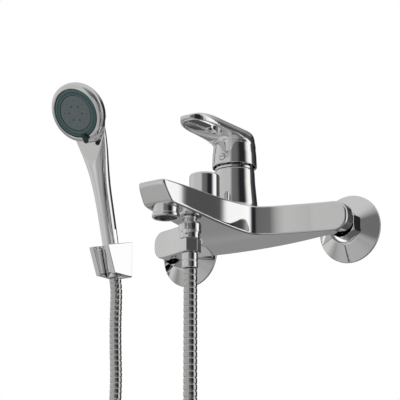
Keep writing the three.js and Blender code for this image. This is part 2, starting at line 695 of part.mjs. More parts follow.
function diverterPieces() {
  const bushHollowR = STEM_SHOULDER_R + SLIDE_GAP;
  const bushTopPlate = 1.8;
  const threadR = DIVERTER_BORE_R - GAP;
  const bush = turned([
    [bushHollowR, BUSH_BOTTOM],
    [threadR, BUSH_BOTTOM],
    [threadR, BODY_TOP + GAP],
    [BUSH_R + 0.8, BODY_TOP + GAP],
    [BUSH_R + 0.8, BODY_TOP + 3],
    [BUSH_R, BODY_TOP + 3],
    [BUSH_R, BUSH_TOP],
    [DIVERTER_STEM_R + SLIDE_GAP, BUSH_TOP],
    [DIVERTER_STEM_R + SLIDE_GAP, BUSH_TOP - bushTopPlate],
    [bushHollowR, BUSH_TOP - bushTopPlate],
  ], 16);
  const hollowTop = KNOB_TOP - 5.5;
  const knob = turned([
    [0, hollowTop + 3.5],
    [DIVERTER_STEM_R + GAP, hollowTop + 3.5],
    [DIVERTER_STEM_R + GAP, hollowTop],
    [BUSH_R + 1.6, hollowTop],
    [BUSH_R + 1.6, KNOB_BOTTOM],
    [KNOB_R, KNOB_BOTTOM],
    [KNOB_R, KNOB_TOP - 1.6],
    [KNOB_R - 0.5, KNOB_TOP - 0.5],
    [KNOB_R - 1.6, KNOB_TOP],
    [0, KNOB_TOP],
  ], 28);
  const stem = turned([
    [0, VALVE_TOP + GAP],
    [STEM_SHOULDER_R, VALVE_TOP + GAP],
    [STEM_SHOULDER_R, VALVE_TOP + 1.6],
    [DIVERTER_STEM_R, VALVE_TOP + 1.6],
    [DIVERTER_STEM_R, SPRING_LOW - 1.6],
    [STEM_SHOULDER_R, SPRING_LOW - 1.6],
    [STEM_SHOULDER_R, SPRING_LOW - 0.4],
    [DIVERTER_STEM_R, SPRING_LOW - 0.4],
    [DIVERTER_STEM_R, hollowTop + 3.2],
    [0, hollowTop + 3.2],
  ], 16);
  const wireR = 0.5;
  const coilLow = SPRING_LOW + wireR;
  const coilHigh = BUSH_TOP - bushTopPlate - GAP - wireR;
  const spring = new THREE.ExtrudeGeometry(circle(wireR, 4), {
    steps: 42,
    extrudePath: new Helix(3.7, coilLow, coilHigh, 5),
    bevelEnabled: false,
  });
  const valve = drum(DIVERTER_BORE_R - SLIDE_GAP, VALVE_LOW, VALVE_TOP, 20);
  add("diverter_bush", bush, brass, diverter);
  add("diverter_knob", knob, chrome, diverter);
  add("diverter_stem", stem, brass, diverter);
  add("diverter_valve", valve, rubber, diverter);
  add("diverter_spring", spring, steel, diverter);
}

// ---- aerator under the spout's tip

function aeratorPieces() {
  const at = (geometry) => geometry.translate(0, AERATOR_Y, 0);
  const insertR = AERATOR_R - 2.7;
  const housing = turned([
    [insertR + GAP, AERATOR_BOTTOM],
    [AERATOR_R - 0.6, AERATOR_BOTTOM],
    [AERATOR_R, AERATOR_BOTTOM + 0.6],
    [AERATOR_R, AERATOR_BOTTOM + 3],
    [AERATOR_R - 0.8, AERATOR_BOTTOM + 3.4],
    [AERATOR_R - 0.8, AERATOR_TOP],
    [insertR - 1.5, AERATOR_TOP],
    [insertR - 1.5, AERATOR_TOP - 1.5],
    [insertR + GAP, AERATOR_TOP - 1.5],
  ], 28);
  const meshHoles = [];
  const pitch = 4.6;
  for (let row = -1; row <= 1; row++) {
    for (let col = -1; col <= 2; col++) {
      const [x, y] = [(col - Math.abs(row) / 2) * pitch, row * pitch * 0.87];
      if (Math.hypot(x, y) < insertR - 1.6) {
        meshHoles.push(drum(1.5, -20, 5, 5).translate(x, y, 0));
      }
    }
  }
  const insert = cut(
    drum(insertR, AERATOR_BOTTOM + 1.6, AERATOR_TOP - 1.5 - GAP, 32),
    ...meshHoles,
  );
  const seal = ring(AERATOR_R - 1.2, insertR - 1.5, AERATOR_TOP + GAP, AERATOR_TOP + 2, 32);
  add("aerator_housing", at(housing), chrome);
  add("aerator_insert", at(insert), blackPlastic);
  add("aerator_seal", at(seal), rubber);
}

// ---- shower outlet: nipple with check valve, seal, hose nut and the hose's first ferrule

const OUTLET_STEP = -22.4;
const OUTLET_THREAD_END = -28.5;
const OUTLET_COLLAR = OUTLET_THREAD_END - 2 * GAP - SEAL_THICKNESS;
const HOSE_NUT_BOTTOM = -34.6;
const OUTLET_FERRULE_END = -48.7;

// The hose's crimped ferrule: a collar for the nut, a neck, then the crimp itself down to end.
function ferruleProfile(collar, crimpStart, end) {
  return turned([
    [HOSE_BORE_R, collar],
    [FERRULE_R + 0.2, collar],
    [FERRULE_R + 0.2, collar - COLLAR_THICKNESS],
    [HOSE_R - 0.4, collar - COLLAR_THICKNESS],
    [HOSE_R - 0.4, crimpStart],
    [FERRULE_R, crimpStart - 0.6],
    [FERRULE_R, end + 0.6],
    [FERRULE_R - 0.6, end],
    [HOSE_BORE_R, end],
  ], 16);
}

function outletPieces() {
  const at = (geometry) => geometry.translate(0, OUTLET_Y, 0);
  const valveR = OUTLET_THREAD_R - 2.4;
  const nipple = turned([
    [OUTLET_NECK_R, 3],
    [OUTLET_NECK_R, -7],
    [OUTLET_R - 0.8, -8],
    [OUTLET_R, -9.5],
    [OUTLET_R, -15.5],
    [OUTLET_R - 1, -18],
    [OUTLET_R - 1, OUTLET_STEP],
    [OUTLET_THREAD_R, OUTLET_STEP],
    [OUTLET_THREAD_R, OUTLET_THREAD_END],
    [valveR + GAP, OUTLET_THREAD_END],
    [valveR + GAP, -9],
    [HOSE_BORE_R - 0.4, -8],
    [HOSE_BORE_R - 0.4, 3],
  ]);
  const seal = ring(OUTLET_THREAD_R - 0.2, HOSE_BORE_R + 0.4,
    OUTLET_THREAD_END - GAP - SEAL_THICKNESS, OUTLET_THREAD_END - GAP, 20);
  const nut = hexNut(HOSE_NUT_FLATS, -OUTLET_STEP + GAP, -HOSE_NUT_BOTTOM,
    OUTLET_THREAD_R + GAP, 2.1, HOSE_R, Math.PI / 12);
  add("shower_outlet_nipple", at(nipple), chrome);
  add("check_valve", at(ring(valveR, valveR - 2, -20, -9.8, 20)), whitePlastic);
  add("outlet_seal", at(seal), rubber);
  add("outlet_hose_nut", at(nut.rotateX(Math.PI)), chrome);
  add("outlet_ferrule",
    at(ferruleProfile(OUTLET_COLLAR, HOSE_NUT_BOTTOM - GAP, OUTLET_FERRULE_END)), chrome);
}

// ---- wall bracket with an open conical cup

const bracketAxis = new THREE.Group();
bracketAxis.position.set(BRACKET_X, BORE_Y, BORE_Z);
bracketAxis.rotation.x = BORE_TILT;
model.add(bracketAxis);

const BRACKET_SIDE = [
  [0, -12.4],
  [BORE_Y - CONE_BOTTOM_R - 2.6, -12.7],
  [BORE_Y - CONE_TOP_R - 13.9, 14.5],
  [0, 24.7],
];

// Turns and moves a solid built round the cup's axis into place.
const onCupAxis = (geometry) =>
  geometry.rotateX(BORE_TILT).translate(BRACKET_X, BORE_Y, BORE_Z);

const CUP_REACH = 40; // how far the cutters of the cup reach past the bracket

function showerBracket() {
  const run = CUP_REACH;
  const slope = (CONE_TOP_R - CONE_BOTTOM_R) / (CONE_TOP - CONE_BOTTOM);
  const radiusAt = (z) => CONE_BOTTOM_R + SLIDE_GAP + slope * (z - CONE_BOTTOM);
  const cup = turned([[0, -run], [radiusAt(-run), -run], [radiusAt(run), run], [0, run]], 32);
  const slot = block(-BRACKET_SLOT_HALF, BRACKET_SLOT_HALF, -CUP_REACH, 0, -CUP_REACH, CUP_REACH);
  const pocketHalf = BRACKET_HALF - 2;
  return cut(
    acrossX(BRACKET_SIDE, BRACKET_X - BRACKET_HALF, BRACKET_X + BRACKET_HALF),
    onCupAxis(cup),
    onCupAxis(slot),
    block(BRACKET_X - pocketHalf, BRACKET_X + pocketHalf, -PLATE_FRONT - GAP, 1,
      PLATE_LOW - GAP, PLATE_HIGH + GAP),
    fromWall(drum(SCREW_HEAD_R + GAP, SCREW_FRONT - SCREW_HEAD - GAP, 2 * SCREW_FRONT, 16),
      BRACKET_X, SCREW_Z),
    fromWall(drum(SCREW_R + GAP, 0, SCREW_FRONT, 12), BRACKET_X, SCREW_Z),
  );
}

function bracketPieces() {
  const plateHalf = BRACKET_HALF - 2 - GAP;
  const slab = (near, far) =>
    block(BRACKET_X - plateHalf, BRACKET_X + plateHalf, -far, -near, PLATE_LOW, PLATE_HIGH);
  const plate = cut(
    slab(PLATE_BACK, PLATE_FRONT),
    fromWall(drum(SCREW_R + GAP, 0, SCREW_FRONT, 12), BRACKET_X, SCREW_Z),
  );
  const shoulder = SCREW_FRONT - SCREW_HEAD;
  const screw = turned([
    [0, PLATE_BACK],
    [SCREW_R, PLATE_BACK],
    [SCREW_R, shoulder],
    [SCREW_HEAD_R, shoulder],
    [SCREW_HEAD_R, SCREW_FRONT],
    [0, SCREW_FRONT],
  ], 16);
  add("shower_bracket", showerBracket(), chrome);
  add("bracket_plate", plate, steel);
  add("bracket_pad", slab(0, PAD_THICKNESS), greyPlastic);
  add("bracket_screw", fromWall(screw, BRACKET_X, SCREW_Z), steel);
}

// ---- hose end in the cup: ferrule, conical nut and seal

const END_COLLAR = CONE_BOTTOM + 4.6;
const END_FERRULE = CONE_BOTTOM - 5;
const SPIGOT_LOW = END_COLLAR + 2 * GAP + SEAL_THICKNESS;
const SPIGOT_R = FERRULE_R + 0.1;

function hoseEndPieces() {
  const coneNut = turned([
    [HOSE_R, CONE_BOTTOM],
    [CONE_BOTTOM_R - 0.5, CONE_BOTTOM],
    [CONE_BOTTOM_R, CONE_BOTTOM + 0.5],
    [CONE_TOP_R, CONE_TOP - 0.6],
    [CONE_TOP_R - 0.6, CONE_TOP],
    [SPIGOT_R + GAP, CONE_TOP],
    [SPIGOT_R + GAP, END_COLLAR - COLLAR_THICKNESS - GAP],
    [HOSE_R, END_COLLAR - COLLAR_THICKNESS - GAP],
  ], 24);
  const seal = ring(SPIGOT_R - 0.1, HOSE_BORE_R + 0.4,
    END_COLLAR + GAP, END_COLLAR + GAP + SEAL_THICKNESS, 20);
  add("hose_end_ferrule",
    ferruleProfile(END_COLLAR, CONE_BOTTOM - GAP, END_FERRULE), chrome, bracketAxis);
  add("hose_cone_nut", coneNut, chrome, bracketAxis);
  add("handset_seal", seal, rubber, bracketAxis);
}

// ---- handset: curved handle and round head, built where it hangs in the cup

// Middle line of the handle in the y-z plane, with half width, half depth and bore radius.
const HANDLE = [
  { y: BORE_Y - 3.3, z: 16.9, across: 8, deep: 8 },
  { y: BORE_Y - 6.1, z: 28, across: 8.2, deep: 8.2 },
  { y: BORE_Y - 12.5, z: 52, across: 8.4, deep: 8.4 },
  { y: BORE_Y - 19.8, z: 76, across: 9.2, deep: 8.6 },
  { y: BORE_Y - 25.7, z: 94.5, across: 11.6, deep: 8.6 },
  { y: BORE_Y - 32.1, z: 111, across: 15.4, deep: 8 },
  { y: BORE_Y - 40, z: 127, across: 19, deep: 7 },
  { y: BORE_Y - 44.5, z: 135, across: 19, deep: 6.5 },
];

function handleSkin(sizeOf, sides, stations) {
  const rings = stations.map((station, i) => {
    const before = stations[Math.max(i - 1, 0)];
    const after = stations[Math.min(i + 1, stations.length - 1)];
    const way = new THREE.Vector3(0, after.y - before.y, after.z - before.z).normalize();
    const depthWay = new THREE.Vector3().crossVectors(way, X);
    const [across, deep] = sizeOf(station);
    return Array.from({ length: sides }, (_, j) => {
      const angle = (2 * Math.PI * j) / sides;
      return new THREE.Vector3(BRACKET_X, station.y, station.z)
        .addScaledVector(X, across * Math.cos(angle))
        .addScaledVector(depthWay, deep * Math.sin(angle));
    });
  });
  return loft(rings);
}

// Turns a solid whose +z runs from the spray face to the back of the head, and moves it there.
const onHead = (geometry) =>
  geometry.rotateX(FACE_TILT - Math.PI / 2).translate(BRACKET_X, HEAD_Y, HEAD_Z);

const RIM_LOW = 1.5;

function handsetShell() {
  const head = turned([
    [0, RIM_LOW],
    [HEAD_R, RIM_LOW],
    [HEAD_R, RIM_LOW + 2.5],
    [HEAD_R - 1.2, 9],
    [HEAD_R - 4.6, 14],
    [HEAD_R - 11, 18.5],
    [HEAD_R - 19, 21],
    [0, 22],
  ], 32);
  const cavity = drum(HEAD_R - 2.8, RIM_LOW - 1, 11.5, 24);
  const outside = handleSkin(({ across, deep }) => [across, deep], 18, HANDLE);
  const bore = handleSkin(() => [HANDLE_BORE_R, HANDLE_BORE_R], 8, HANDLE);
  const spigot = drum(SPIGOT_R, SPIGOT_LOW, CONE_TOP + 3, 20);
  const spigotBore = drum(HANDLE_BORE_R, SPIGOT_LOW - 1, CONE_TOP + 4, 8);
  const faceSide = onHead(block(-HEAD_R, HEAD_R, -HEAD_R, HEAD_R - 2, -HEAD_R, RIM_LOW));
  return cut(
    join(onHead(head), cut(outside, faceSide), onCupAxis(spigot)),
    onHead(cavity),
    bore,
    onCupAxis(spigotBore),
  );
}

function nozzleRing() {
  const holes = Array.from({ length: NOZZLES }, (_, i) => {
    const angle = (2 * Math.PI * i) / NOZZLES;
    const r = (FACE_R + INNER_DISC_R) / 2 + 0.6;
    return drum(0.8, -4, 4, 4).translate(r * Math.cos(angle), r * Math.sin(angle), 0);
  });
  return cut(ring(FACE_R, INNER_DISC_R + GAP, -1.6, 2.4, 28), ...holes);
}

function sprayPlate() {
  const jets = Array.from({ length: CENTRE_JETS }, (_, i) => {
    const angle = (2 * Math.PI * i) / CENTRE_JETS;
    return drum(0.9, -4, 4, 5).translate(6.6 * Math.cos(angle), 6.6 * Math.sin(angle), 0);
  });
  return cut(drum(INNER_DISC_R, -1.4, 2.4, 28), ...jets);
}

function selectorTab() {
  const shape = new THREE.Shape();
  const half = 2.6;
  shape.absarc(0, HEAD_R - 1.2, half, Math.PI, 0, true);
  shape.lineTo(half, FACE_R - 3);
  shape.lineTo(-half, FACE_R - 3);
  return prism(shape, -4.4, -1.9).rotateZ(-TAB_TURN);
}

function distributor() {
  const ports = Array.from({ length: 3 }, (_, i) => {
    const angle = (2 * Math.PI * i) / 3;
    return drum(2.4, 0, 9, 10).translate(14 * Math.cos(angle), 14 * Math.sin(angle), 0);
  });
  return cut(drum(HEAD_R - 3.2, 2.7, 7.5, 28), ...ports);
}

function handsetPieces() {
  const faceRing = turned([
    [FACE_R + GAP, -1],
    [FACE_R + 1.2, -1.5],
    [HEAD_R - 1.4, -0.9],
    [HEAD_R, 0],
    [HEAD_R, RIM_LOW - GAP],
    [FACE_R + GAP, RIM_LOW - GAP],
  ], 32);
  add("handset_shell", handsetShell(), chrome);
  add("handset_face_ring", onHead(faceRing), chrome);
  add("nozzle_ring", onHead(nozzleRing()), darkPlastic);
  add("spray_plate", onHead(sprayPlate()), greyPlastic);
  add("selector_tab", onHead(selectorTab()), blackPlastic);
  add("spray_distributor", onHead(distributor()), whitePlastic);
}

// ---- hose: down from the outlet, two and a half hanging turns, and up into the bracket's cup

const OUTLET_RUN = [
  [0, -126.6, -49],
  [0, -126.6, -72],
  [0, -126.6, -96],
  [0, -126.6, -120],
  [0, -126.6, -142],
  [-0.4, -126, -160],
  [-2.6, -122.4, -178],
  [-7.5, -115, -195],
  [-13.6, -105, -211],
  [-19, -95.6, -226],
  [-22.5, -89.5, -239.4],
];
const SHOWER_RUN = [
  [-151.5, -50.4, -239.4],
  [-154.4, -45.5, -226],
  [-159, -38, -210],
  [-164.4, -29.4, -193],
  [-169.4, -20.8, -175],
  [-173.2, -13.4, -155],
  [-175, -9.2, -135],
  [-175.6, -8, -112],
  [-176, -8.8, -88],
  [-176, -9.6, -64],
  [-175.6, -9.8, -44],
  [-175.4, -10, -27],
  [-175.4, -12.35, -13.6],
];

function hoseRun(points) {
  const path = new THREE.CatmullRomCurve3(points.map((p) => new THREE.Vector3(...p)));
  return new THREE.ExtrudeGeometry(circle(HOSE_R, HOSE_SIDES), {
    steps: 22,
    extrudePath: path,
    bevelEnabled: false,
  });
}

function hosePieces() {
  const reach = HOSE_R + 0.3;
  const halfWidth = (COIL.turns * COIL.pitch) / 2 + HOSE_R;
  const coil = ring(COIL.r + reach, COIL.r - reach, -halfWidth, halfWidth, 28);
  const wall = 1.6;
  const tieHalf = 5;
  const bow = 0.5; // how far the ring's curve rises within the strap's width
  const around = (grow, long) => {
    const [high, wide] = [reach + GAP + grow, halfWidth + GAP + grow];
    return block(-long, long, -wide, wide, -COIL.r - high, -COIL.r + high + bow);
  };
  const tie = cut(around(wall, tieHalf), around(0, tieHalf + 1));
  const place = (geometry) => geometry.translate(COIL.x, COIL.y, COIL.z);
  add("hose_outlet_run", hoseRun(OUTLET_RUN), hoseSteel);
  add("hose_coil", place(coil.rotateX(Math.PI / 2)), hoseSteel);
  add("hose_tie", place(tie), blackPlastic);
  add("hose_shower_run", hoseRun(SHOWER_RUN), hoseSteel);
}

// ---------------------------------------------------------------- assembly

add("mixer_body", mixerBody(), chrome);
inlet("left", -1);
inlet("right", 1);
cartridgePieces();
leverPieces();
diverterPieces();
aeratorPieces();
outletPieces();
bracketPieces();
hoseEndPieces();
handsetPieces();
hosePieces();

export default model;
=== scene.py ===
"""Looks of the wall mounted bath mixer: chrome casting, lever, diverter, hose, handset and bracket.

Lengths in this script are millimetres, turned into metres where a mesh is made. The wall is y = 0
and the room lies towards -y, as in the CAD frame.
"""

import json
import math

import bpy
import numpy as np
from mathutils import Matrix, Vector


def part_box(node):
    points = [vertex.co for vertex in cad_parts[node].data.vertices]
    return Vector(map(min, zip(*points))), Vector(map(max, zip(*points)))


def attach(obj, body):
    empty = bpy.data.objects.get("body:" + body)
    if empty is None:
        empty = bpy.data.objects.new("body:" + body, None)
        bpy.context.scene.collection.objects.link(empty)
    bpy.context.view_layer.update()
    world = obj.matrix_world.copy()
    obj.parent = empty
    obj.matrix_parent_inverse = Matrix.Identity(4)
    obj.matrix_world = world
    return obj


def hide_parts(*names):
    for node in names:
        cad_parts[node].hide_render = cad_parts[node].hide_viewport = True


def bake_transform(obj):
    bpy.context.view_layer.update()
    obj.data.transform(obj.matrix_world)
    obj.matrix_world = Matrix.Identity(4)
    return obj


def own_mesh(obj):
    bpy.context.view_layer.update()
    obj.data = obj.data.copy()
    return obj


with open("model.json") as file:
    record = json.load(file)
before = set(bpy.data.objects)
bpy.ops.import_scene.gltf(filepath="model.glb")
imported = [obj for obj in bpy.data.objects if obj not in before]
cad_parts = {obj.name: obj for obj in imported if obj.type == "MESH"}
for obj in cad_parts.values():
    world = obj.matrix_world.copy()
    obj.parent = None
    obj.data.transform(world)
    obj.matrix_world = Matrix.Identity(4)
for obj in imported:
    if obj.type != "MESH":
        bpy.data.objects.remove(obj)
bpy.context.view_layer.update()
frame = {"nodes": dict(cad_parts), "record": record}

MM = 0.001
COARSE = 1.0


def extent(node):
    """Lowest and highest corner of a CAD node, in millimetres."""
    low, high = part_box(node)
    return np.array(low) / MM, np.array(high) / MM


def middle(node):
    low, high = extent(node)
    return (low + high) / 2


# ---------------------------------------------------------------- sizes shared with the CAD model

COLUMN_Y = middle("trim_ring")[1]
DIVERTER_Y = middle("diverter_knob")[1]
OUTLET_Y = middle("outlet_ferrule")[1]
AERATOR_Y = middle("aerator_housing")[1]
TAIL_X = middle("union_nut_right")[0]
INLET_X = middle("escutcheon_right")[0]
BRACKET_X = middle("shower_bracket")[0]
BODY_TOP = 18.0
BODY_BOTTOM = -10.0
SPOUT_TIP = extent("mixer_body")[0][1]
COLUMN_TOP = extent("mixer_body")[1][2]
SKIRT_BOTTOM = extent("lever_handle")[0][2]
CUP_TILT = math.radians(14.2)  # the bracket's cup leans out from the wall
CUP = np.array([BRACKET_X, -16.5, 4.0])  # its middle
FACE_TILT = math.radians(33)  # the spray face looks this far below level
HEAD = np.array([BRACKET_X, -79.0, 143.8])  # middle of the spray face
HEAD_R = 30.6
FACE_R = 25.0
INNER_DISC_R = 18.4
HOSE_R = 6.0
UNION_NUT_FLATS = 25
HOSE_NUT_FLATS = 17.2

# ---------------------------------------------------------------- camera and surroundings


CAMERA_PLACE = (0.7068, -1.1155, -0.3287)
CAMERA_TURN = math.radians(35.16)  # to the left of straight at the wall
CAMERA_RISE = math.radians(15.73)
CAMERA_LENS = 128.3
SENSOR_WIDTH = 36


def make_camera():
    data = bpy.data.cameras.new("camera")
    data.sensor_width = SENSOR_WIDTH
    data.lens = CAMERA_LENS
    data.clip_start = 0.01
    camera = bpy.data.objects.new("camera", data)
    bpy.context.scene.collection.objects.link(camera)
    camera.location = CAMERA_PLACE
    camera.rotation_euler = (math.pi / 2 + CAMERA_RISE, 0, CAMERA_TURN)
    bpy.context.scene.camera = camera


make_camera()
bpy.context.scene.view_settings.view_transform = "Standard"

# How bright the studio is by compass angle (0 is +x, 90 is into the wall): broad grey screens
# on the left, black flags on the right and one tall white softbox beyond them, a little behind
# the wall. ROUND holds level with the mixer, BELOW about 17 degrees down, DEEP from 31 degrees
# down, and OVERHEAD from 53 degrees up.
ROUND = [
    (-180, 0.6), (-160, 0.6), (-130, 0.53), (-100, 0.52), (-84, 0.53), (-79, 0.42), (-74, 0.28),
    (-69, 0.16), (-60, 0.15), (-43, 0.13), (-34, 0.06), (-27, 0.02), (-6, 0.02), (1, 0.08),
    (7, 0.4), (13, 0.7), (20, 0.95), (28, 1.08), (43, 1.0), (44.8, 0.3), (46.4, 0.085),
    (58, 0.07), (66, 0.05), (80, 0.02), (102, 0.03), (125, 0.2), (150, 0.45), (160, 0.5),
    (180, 0.6),
]
BELOW = [
    (-180, 0.2), (-165, 0.18), (-155, 0.28), (-145, 0.42), (-135, 0.53), (-120, 0.64),
    (-108, 0.64), (-95, 0.45), (-80, 0.36), (-70, 0.42), (-60, 0.42), (-40, 0.26), (-20, 0.14),
    (0, 0.12), (12, 0.35), (22, 0.65), (35, 0.95), (44, 0.7), (50, 0.22), (65, 0.1), (95, 0.1),
    (112, 0.2), (121, 0.31), (128, 0.29), (140, 0.3), (180, 0.2),
]
DEEP = [
    (-180, 0.25), (-150, 0.38), (-120, 0.44), (-90, 0.42), (-60, 0.36), (-40, 0.13),
    (-15, 0.07), (0, 0.1), (30, 0.4), (45, 0.3), (60, 0.08), (100, 0.05), (125, 0.12),
    (150, 0.35), (180, 0.25),
]
OVERHEAD = (0.6, 0.6, 0.6, 1)
WHITE = (1, 1, 1, 1)


class Nodes:
    """Adds and links shader nodes in one tree."""

    def __init__(self, tree):
        self.tree = tree
        tree.nodes.clear()

    def add(self, kind, settings=None, **inputs):
        node = self.tree.nodes.new(kind)
        for name, value in (settings or {}).items():
            setattr(node, name, value)
        for name, value in inputs.items():
            self.put(value, node.inputs[name])
        return node

    def put(self, value, socket):
        if isinstance(value, bpy.types.NodeSocket):
            self.tree.links.new(value, socket)
        else:
            socket.default_value = value

    def math(self, operation, first, second=0.0, clamp=False):
        node = self.add("ShaderNodeMath", {"operation": operation, "use_clamp": clamp})
        self.put(first, node.inputs[0])
        self.put(second, node.inputs[1])
        return node.outputs[0]

    def line(self, value, rise, start, clamp=True):
        """rise times the value plus start."""
        result = self.math("MULTIPLY_ADD", value, rise, clamp)
        result.node.inputs[2].default_value = start
        return result

    def ramp(self, value, stops):
        node = self.add("ShaderNodeValToRGB", Fac=value)
        points = node.color_ramp.elements
        while len(points) > 1:
            points.remove(points[-1])
        points[0].position, points[0].color = stops[0]
        for position, color in stops[1:]:
            points.new(position).color = color
        return node.outputs["Color"]

    def mix(self, share, first, second):
        node = self.add("ShaderNodeMix", {"data_type": "RGBA"})
        self.put(share, node.inputs["Factor"])
        self.put(first, node.inputs[6])
        self.put(second, node.inputs[7])
        return node.outputs[2]


def tinted(value):
    """Bright parts of the studio are a touch warm and dark ones a touch cool."""
    warm = 0.02 * min(value, 0.6)
    return (value + warm * 0.5, value, value - warm + 0.004, 1)


def make_world():
    world = bpy.data.worlds.new("studio")
    bpy.context.scene.world = world
    world.use_nodes = True
    n = Nodes(world.node_tree)
    way = n.add("ShaderNodeTexCoord").outputs["Generated"]
    split = n.add("ShaderNodeSeparateXYZ", Vector=way)
    turn = n.math("ARCTAN2", split.outputs["Y"], split.outputs["X"])
    share = n.line(turn, 0.5 / math.pi, 0.5, clamp=False)
    height = split.outputs["Z"]
    level, below, deep = [
        n.ramp(share, [((angle + 180) / 360, tinted(value)) for angle, value in table])
        for table in (ROUND, BELOW, DEEP)
    ]
    below = n.mix(n.line(height, -5.0, -1.6), below, deep)
    color = n.mix(n.line(height, -6.0, -0.7), level, below)
    color = n.mix(n.line(height, 3.4, -1.7), color, OVERHEAD)
    seen = n.add("ShaderNodeLightPath").outputs["Is Camera Ray"]
    color = n.mix(seen, color, WHITE)
    glow = n.add("ShaderNodeBackground", Color=color, Strength=1.0)
    out = n.add("ShaderNodeOutputWorld")
    n.put(glow.outputs[0], out.inputs["Surface"])


LAMP_SIZE = 0.9
LAMP_AIM = Vector((-0.1, -0.05, 0))


def make_lights():
    """Soft light for the plastic faces only; the chrome mirrors the studio instead."""
    for name, place, power in [("key", (-0.9, -1.3, 0.5), 16), ("fill", (0.9, -1.2, -0.2), 7)]:
        data = bpy.data.lights.new(name, "AREA")
        data.size = LAMP_SIZE
        data.energy = power
        light = bpy.data.objects.new(name, data)
        bpy.context.scene.collection.objects.link(light)
        light.location = place
        way = LAMP_AIM - Vector(place)
        light.rotation_euler = way.to_track_quat("-Z", "Y").to_euler()
        light.visible_glossy = False


# ---------------------------------------------------------------- materials

BUMP_DEPTH = 0.0004


def material(name, color, metallic, roughness, wear=0.02, grain=90.0, bump=0.0, speck=0.0):
    """A surface whose roughness, and a little of its colour and relief, vary over it."""
    made = bpy.data.materials.new(name)
    made.use_nodes = True
    n = Nodes(made.node_tree)
    place = n.add("ShaderNodeTexCoord").outputs["Object"]
    noise = n.add("ShaderNodeTexNoise", Vector=place, Scale=grain, Detail=4.0)
    smooth, rough = roughness - wear, roughness + wear
    gloss = n.add("ShaderNodeMapRange", Value=noise.outputs["Fac"])
    limits = {"From Min": 0.35, "From Max": 0.7, "To Min": smooth, "To Max": rough}
    for socket, value in limits.items():
        gloss.inputs[socket].default_value = value
    shade = tuple(c * (1 - speck) for c in color) + (1,)
    tone = n.mix(noise.outputs["Fac"], color + (1,), shade)
    surface = n.add("ShaderNodeBsdfPrincipled", Metallic=metallic, Roughness=gloss.outputs[0])
    n.put(tone, surface.inputs["Base Color"])
    if bump:
        relief = n.add("ShaderNodeBump", Height=noise.outputs["Fac"], Strength=bump,
                       Distance=BUMP_DEPTH)
        n.put(relief.outputs[0], surface.inputs["Normal"])
    out = n.add("ShaderNodeOutputMaterial")
    n.put(surface.outputs[0], out.inputs["Surface"])
    return made


CHROME = material("chrome", (0.90, 0.90, 0.905), 1.0, 0.045, wear=0.012, grain=70, speck=0.02)
LOOKS = {
    "chrome": CHROME,
    "hose_steel": material(
        "hose_steel", (0.66, 0.66, 0.65), 1.0, 0.12, wear=0.04, grain=500, speck=0.1),
    "brass": material("brass", (0.70, 0.52, 0.25), 1.0, 0.34, wear=0.08, grain=160, speck=0.15),
    "steel": material("steel", (0.62, 0.62, 0.63), 1.0, 0.28, wear=0.06, grain=300, speck=0.1),
    "dark_plastic": material(
        "dark_plastic", (0.045, 0.085, 0.088), 0.0, 0.36, grain=600, bump=0.1, speck=0.2),
    "grey_plastic": material(
        "grey_plastic", (0.085, 0.104, 0.108), 0.0, 0.5, grain=900, bump=0.3, speck=0.25),
    "black_plastic": material(
        "black_plastic", (0.012, 0.014, 0.015), 0.0, 0.32, grain=700, bump=0.1, speck=0.2),
    "white_plastic": material(
        "white_plastic", (0.82, 0.81, 0.78), 0.0, 0.35, grain=400, bump=0.05, speck=0.04),
    "ceramic": material("ceramic", (0.88, 0.86, 0.81), 0.0, 0.12, grain=300, speck=0.03),
    "rubber": material("rubber", (0.02, 0.02, 0.02), 0.0, 0.7, grain=800, bump=0.2, speck=0.2),
}
HOT = material("hot_mark", (0.16, 0.012, 0.012), 0.0, 0.3)
COLD = material("cold_mark", (0.01, 0.02, 0.09), 0.0, 0.3)
# Painted shade: near-black discs stand for the dark inside of small holes, the spray jets and the
# two holes on the outlet.
JET_HOLE_SHADE = material("jet_hole_shade", (0.008, 0.014, 0.015), 0.0, 0.6)
RUBBER_NUB = material("nozzle_nub", (0.03, 0.055, 0.055), 0.0, 0.34, grain=900, bump=0.1)


def dress_frame():
    """Gives each CAD node the material of its slot, for the inner pieces that stay as they are."""
    for entry in frame["record"]["subparts"]:
        mesh = frame["nodes"][entry["node"]].data
        mesh.materials.clear()
        mesh.materials.append(LOOKS[entry["material_slot"]])


# ---------------------------------------------------------------- making pieces


def piece(name, points, faces, normals, slot, body, nodes=(), look=None):
    """One visible piece that rides on a body and stands for CAD nodes."""
    mesh = bpy.data.meshes.new(name)
    mesh.from_pydata([tuple(p) for p in np.asarray(points, float) * MM], [], faces)
    mesh.materials.append(look or LOOKS[slot])
    mesh.shade_smooth()
    mesh.update()
    if normals is not None:
        mesh.normals_split_custom_set_from_vertices([tuple(v) for v in normals])
    made = bpy.data.objects.new(name, mesh)
    bpy.context.scene.collection.objects.link(made)
    if body:
        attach(made, body)
    if nodes:
        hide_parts(*nodes)
    return made


def eased(profile, radius):
    """The closed outline with each of its corners rounded off by a short curve."""
    points = np.array(profile, float)
    out = []
    for before, here, after in zip(np.roll(points, 1, 0), points, np.roll(points, -1, 0)):
        back, on = before - here, after - here
        if here[0] == 0:
            out.append(here)
            continue
        reach = min(radius, 0.4 * np.linalg.norm(back), 0.4 * np.linalg.norm(on))
        start = here + back / np.linalg.norm(back) * reach
        end = here + on / np.linalg.norm(on) * reach
        for t in (0, 0.25, 0.5, 0.75, 1):
            out.append((1 - t) ** 2 * start + 2 * t * (1 - t) * here + t * t * end)
    return np.array(out)


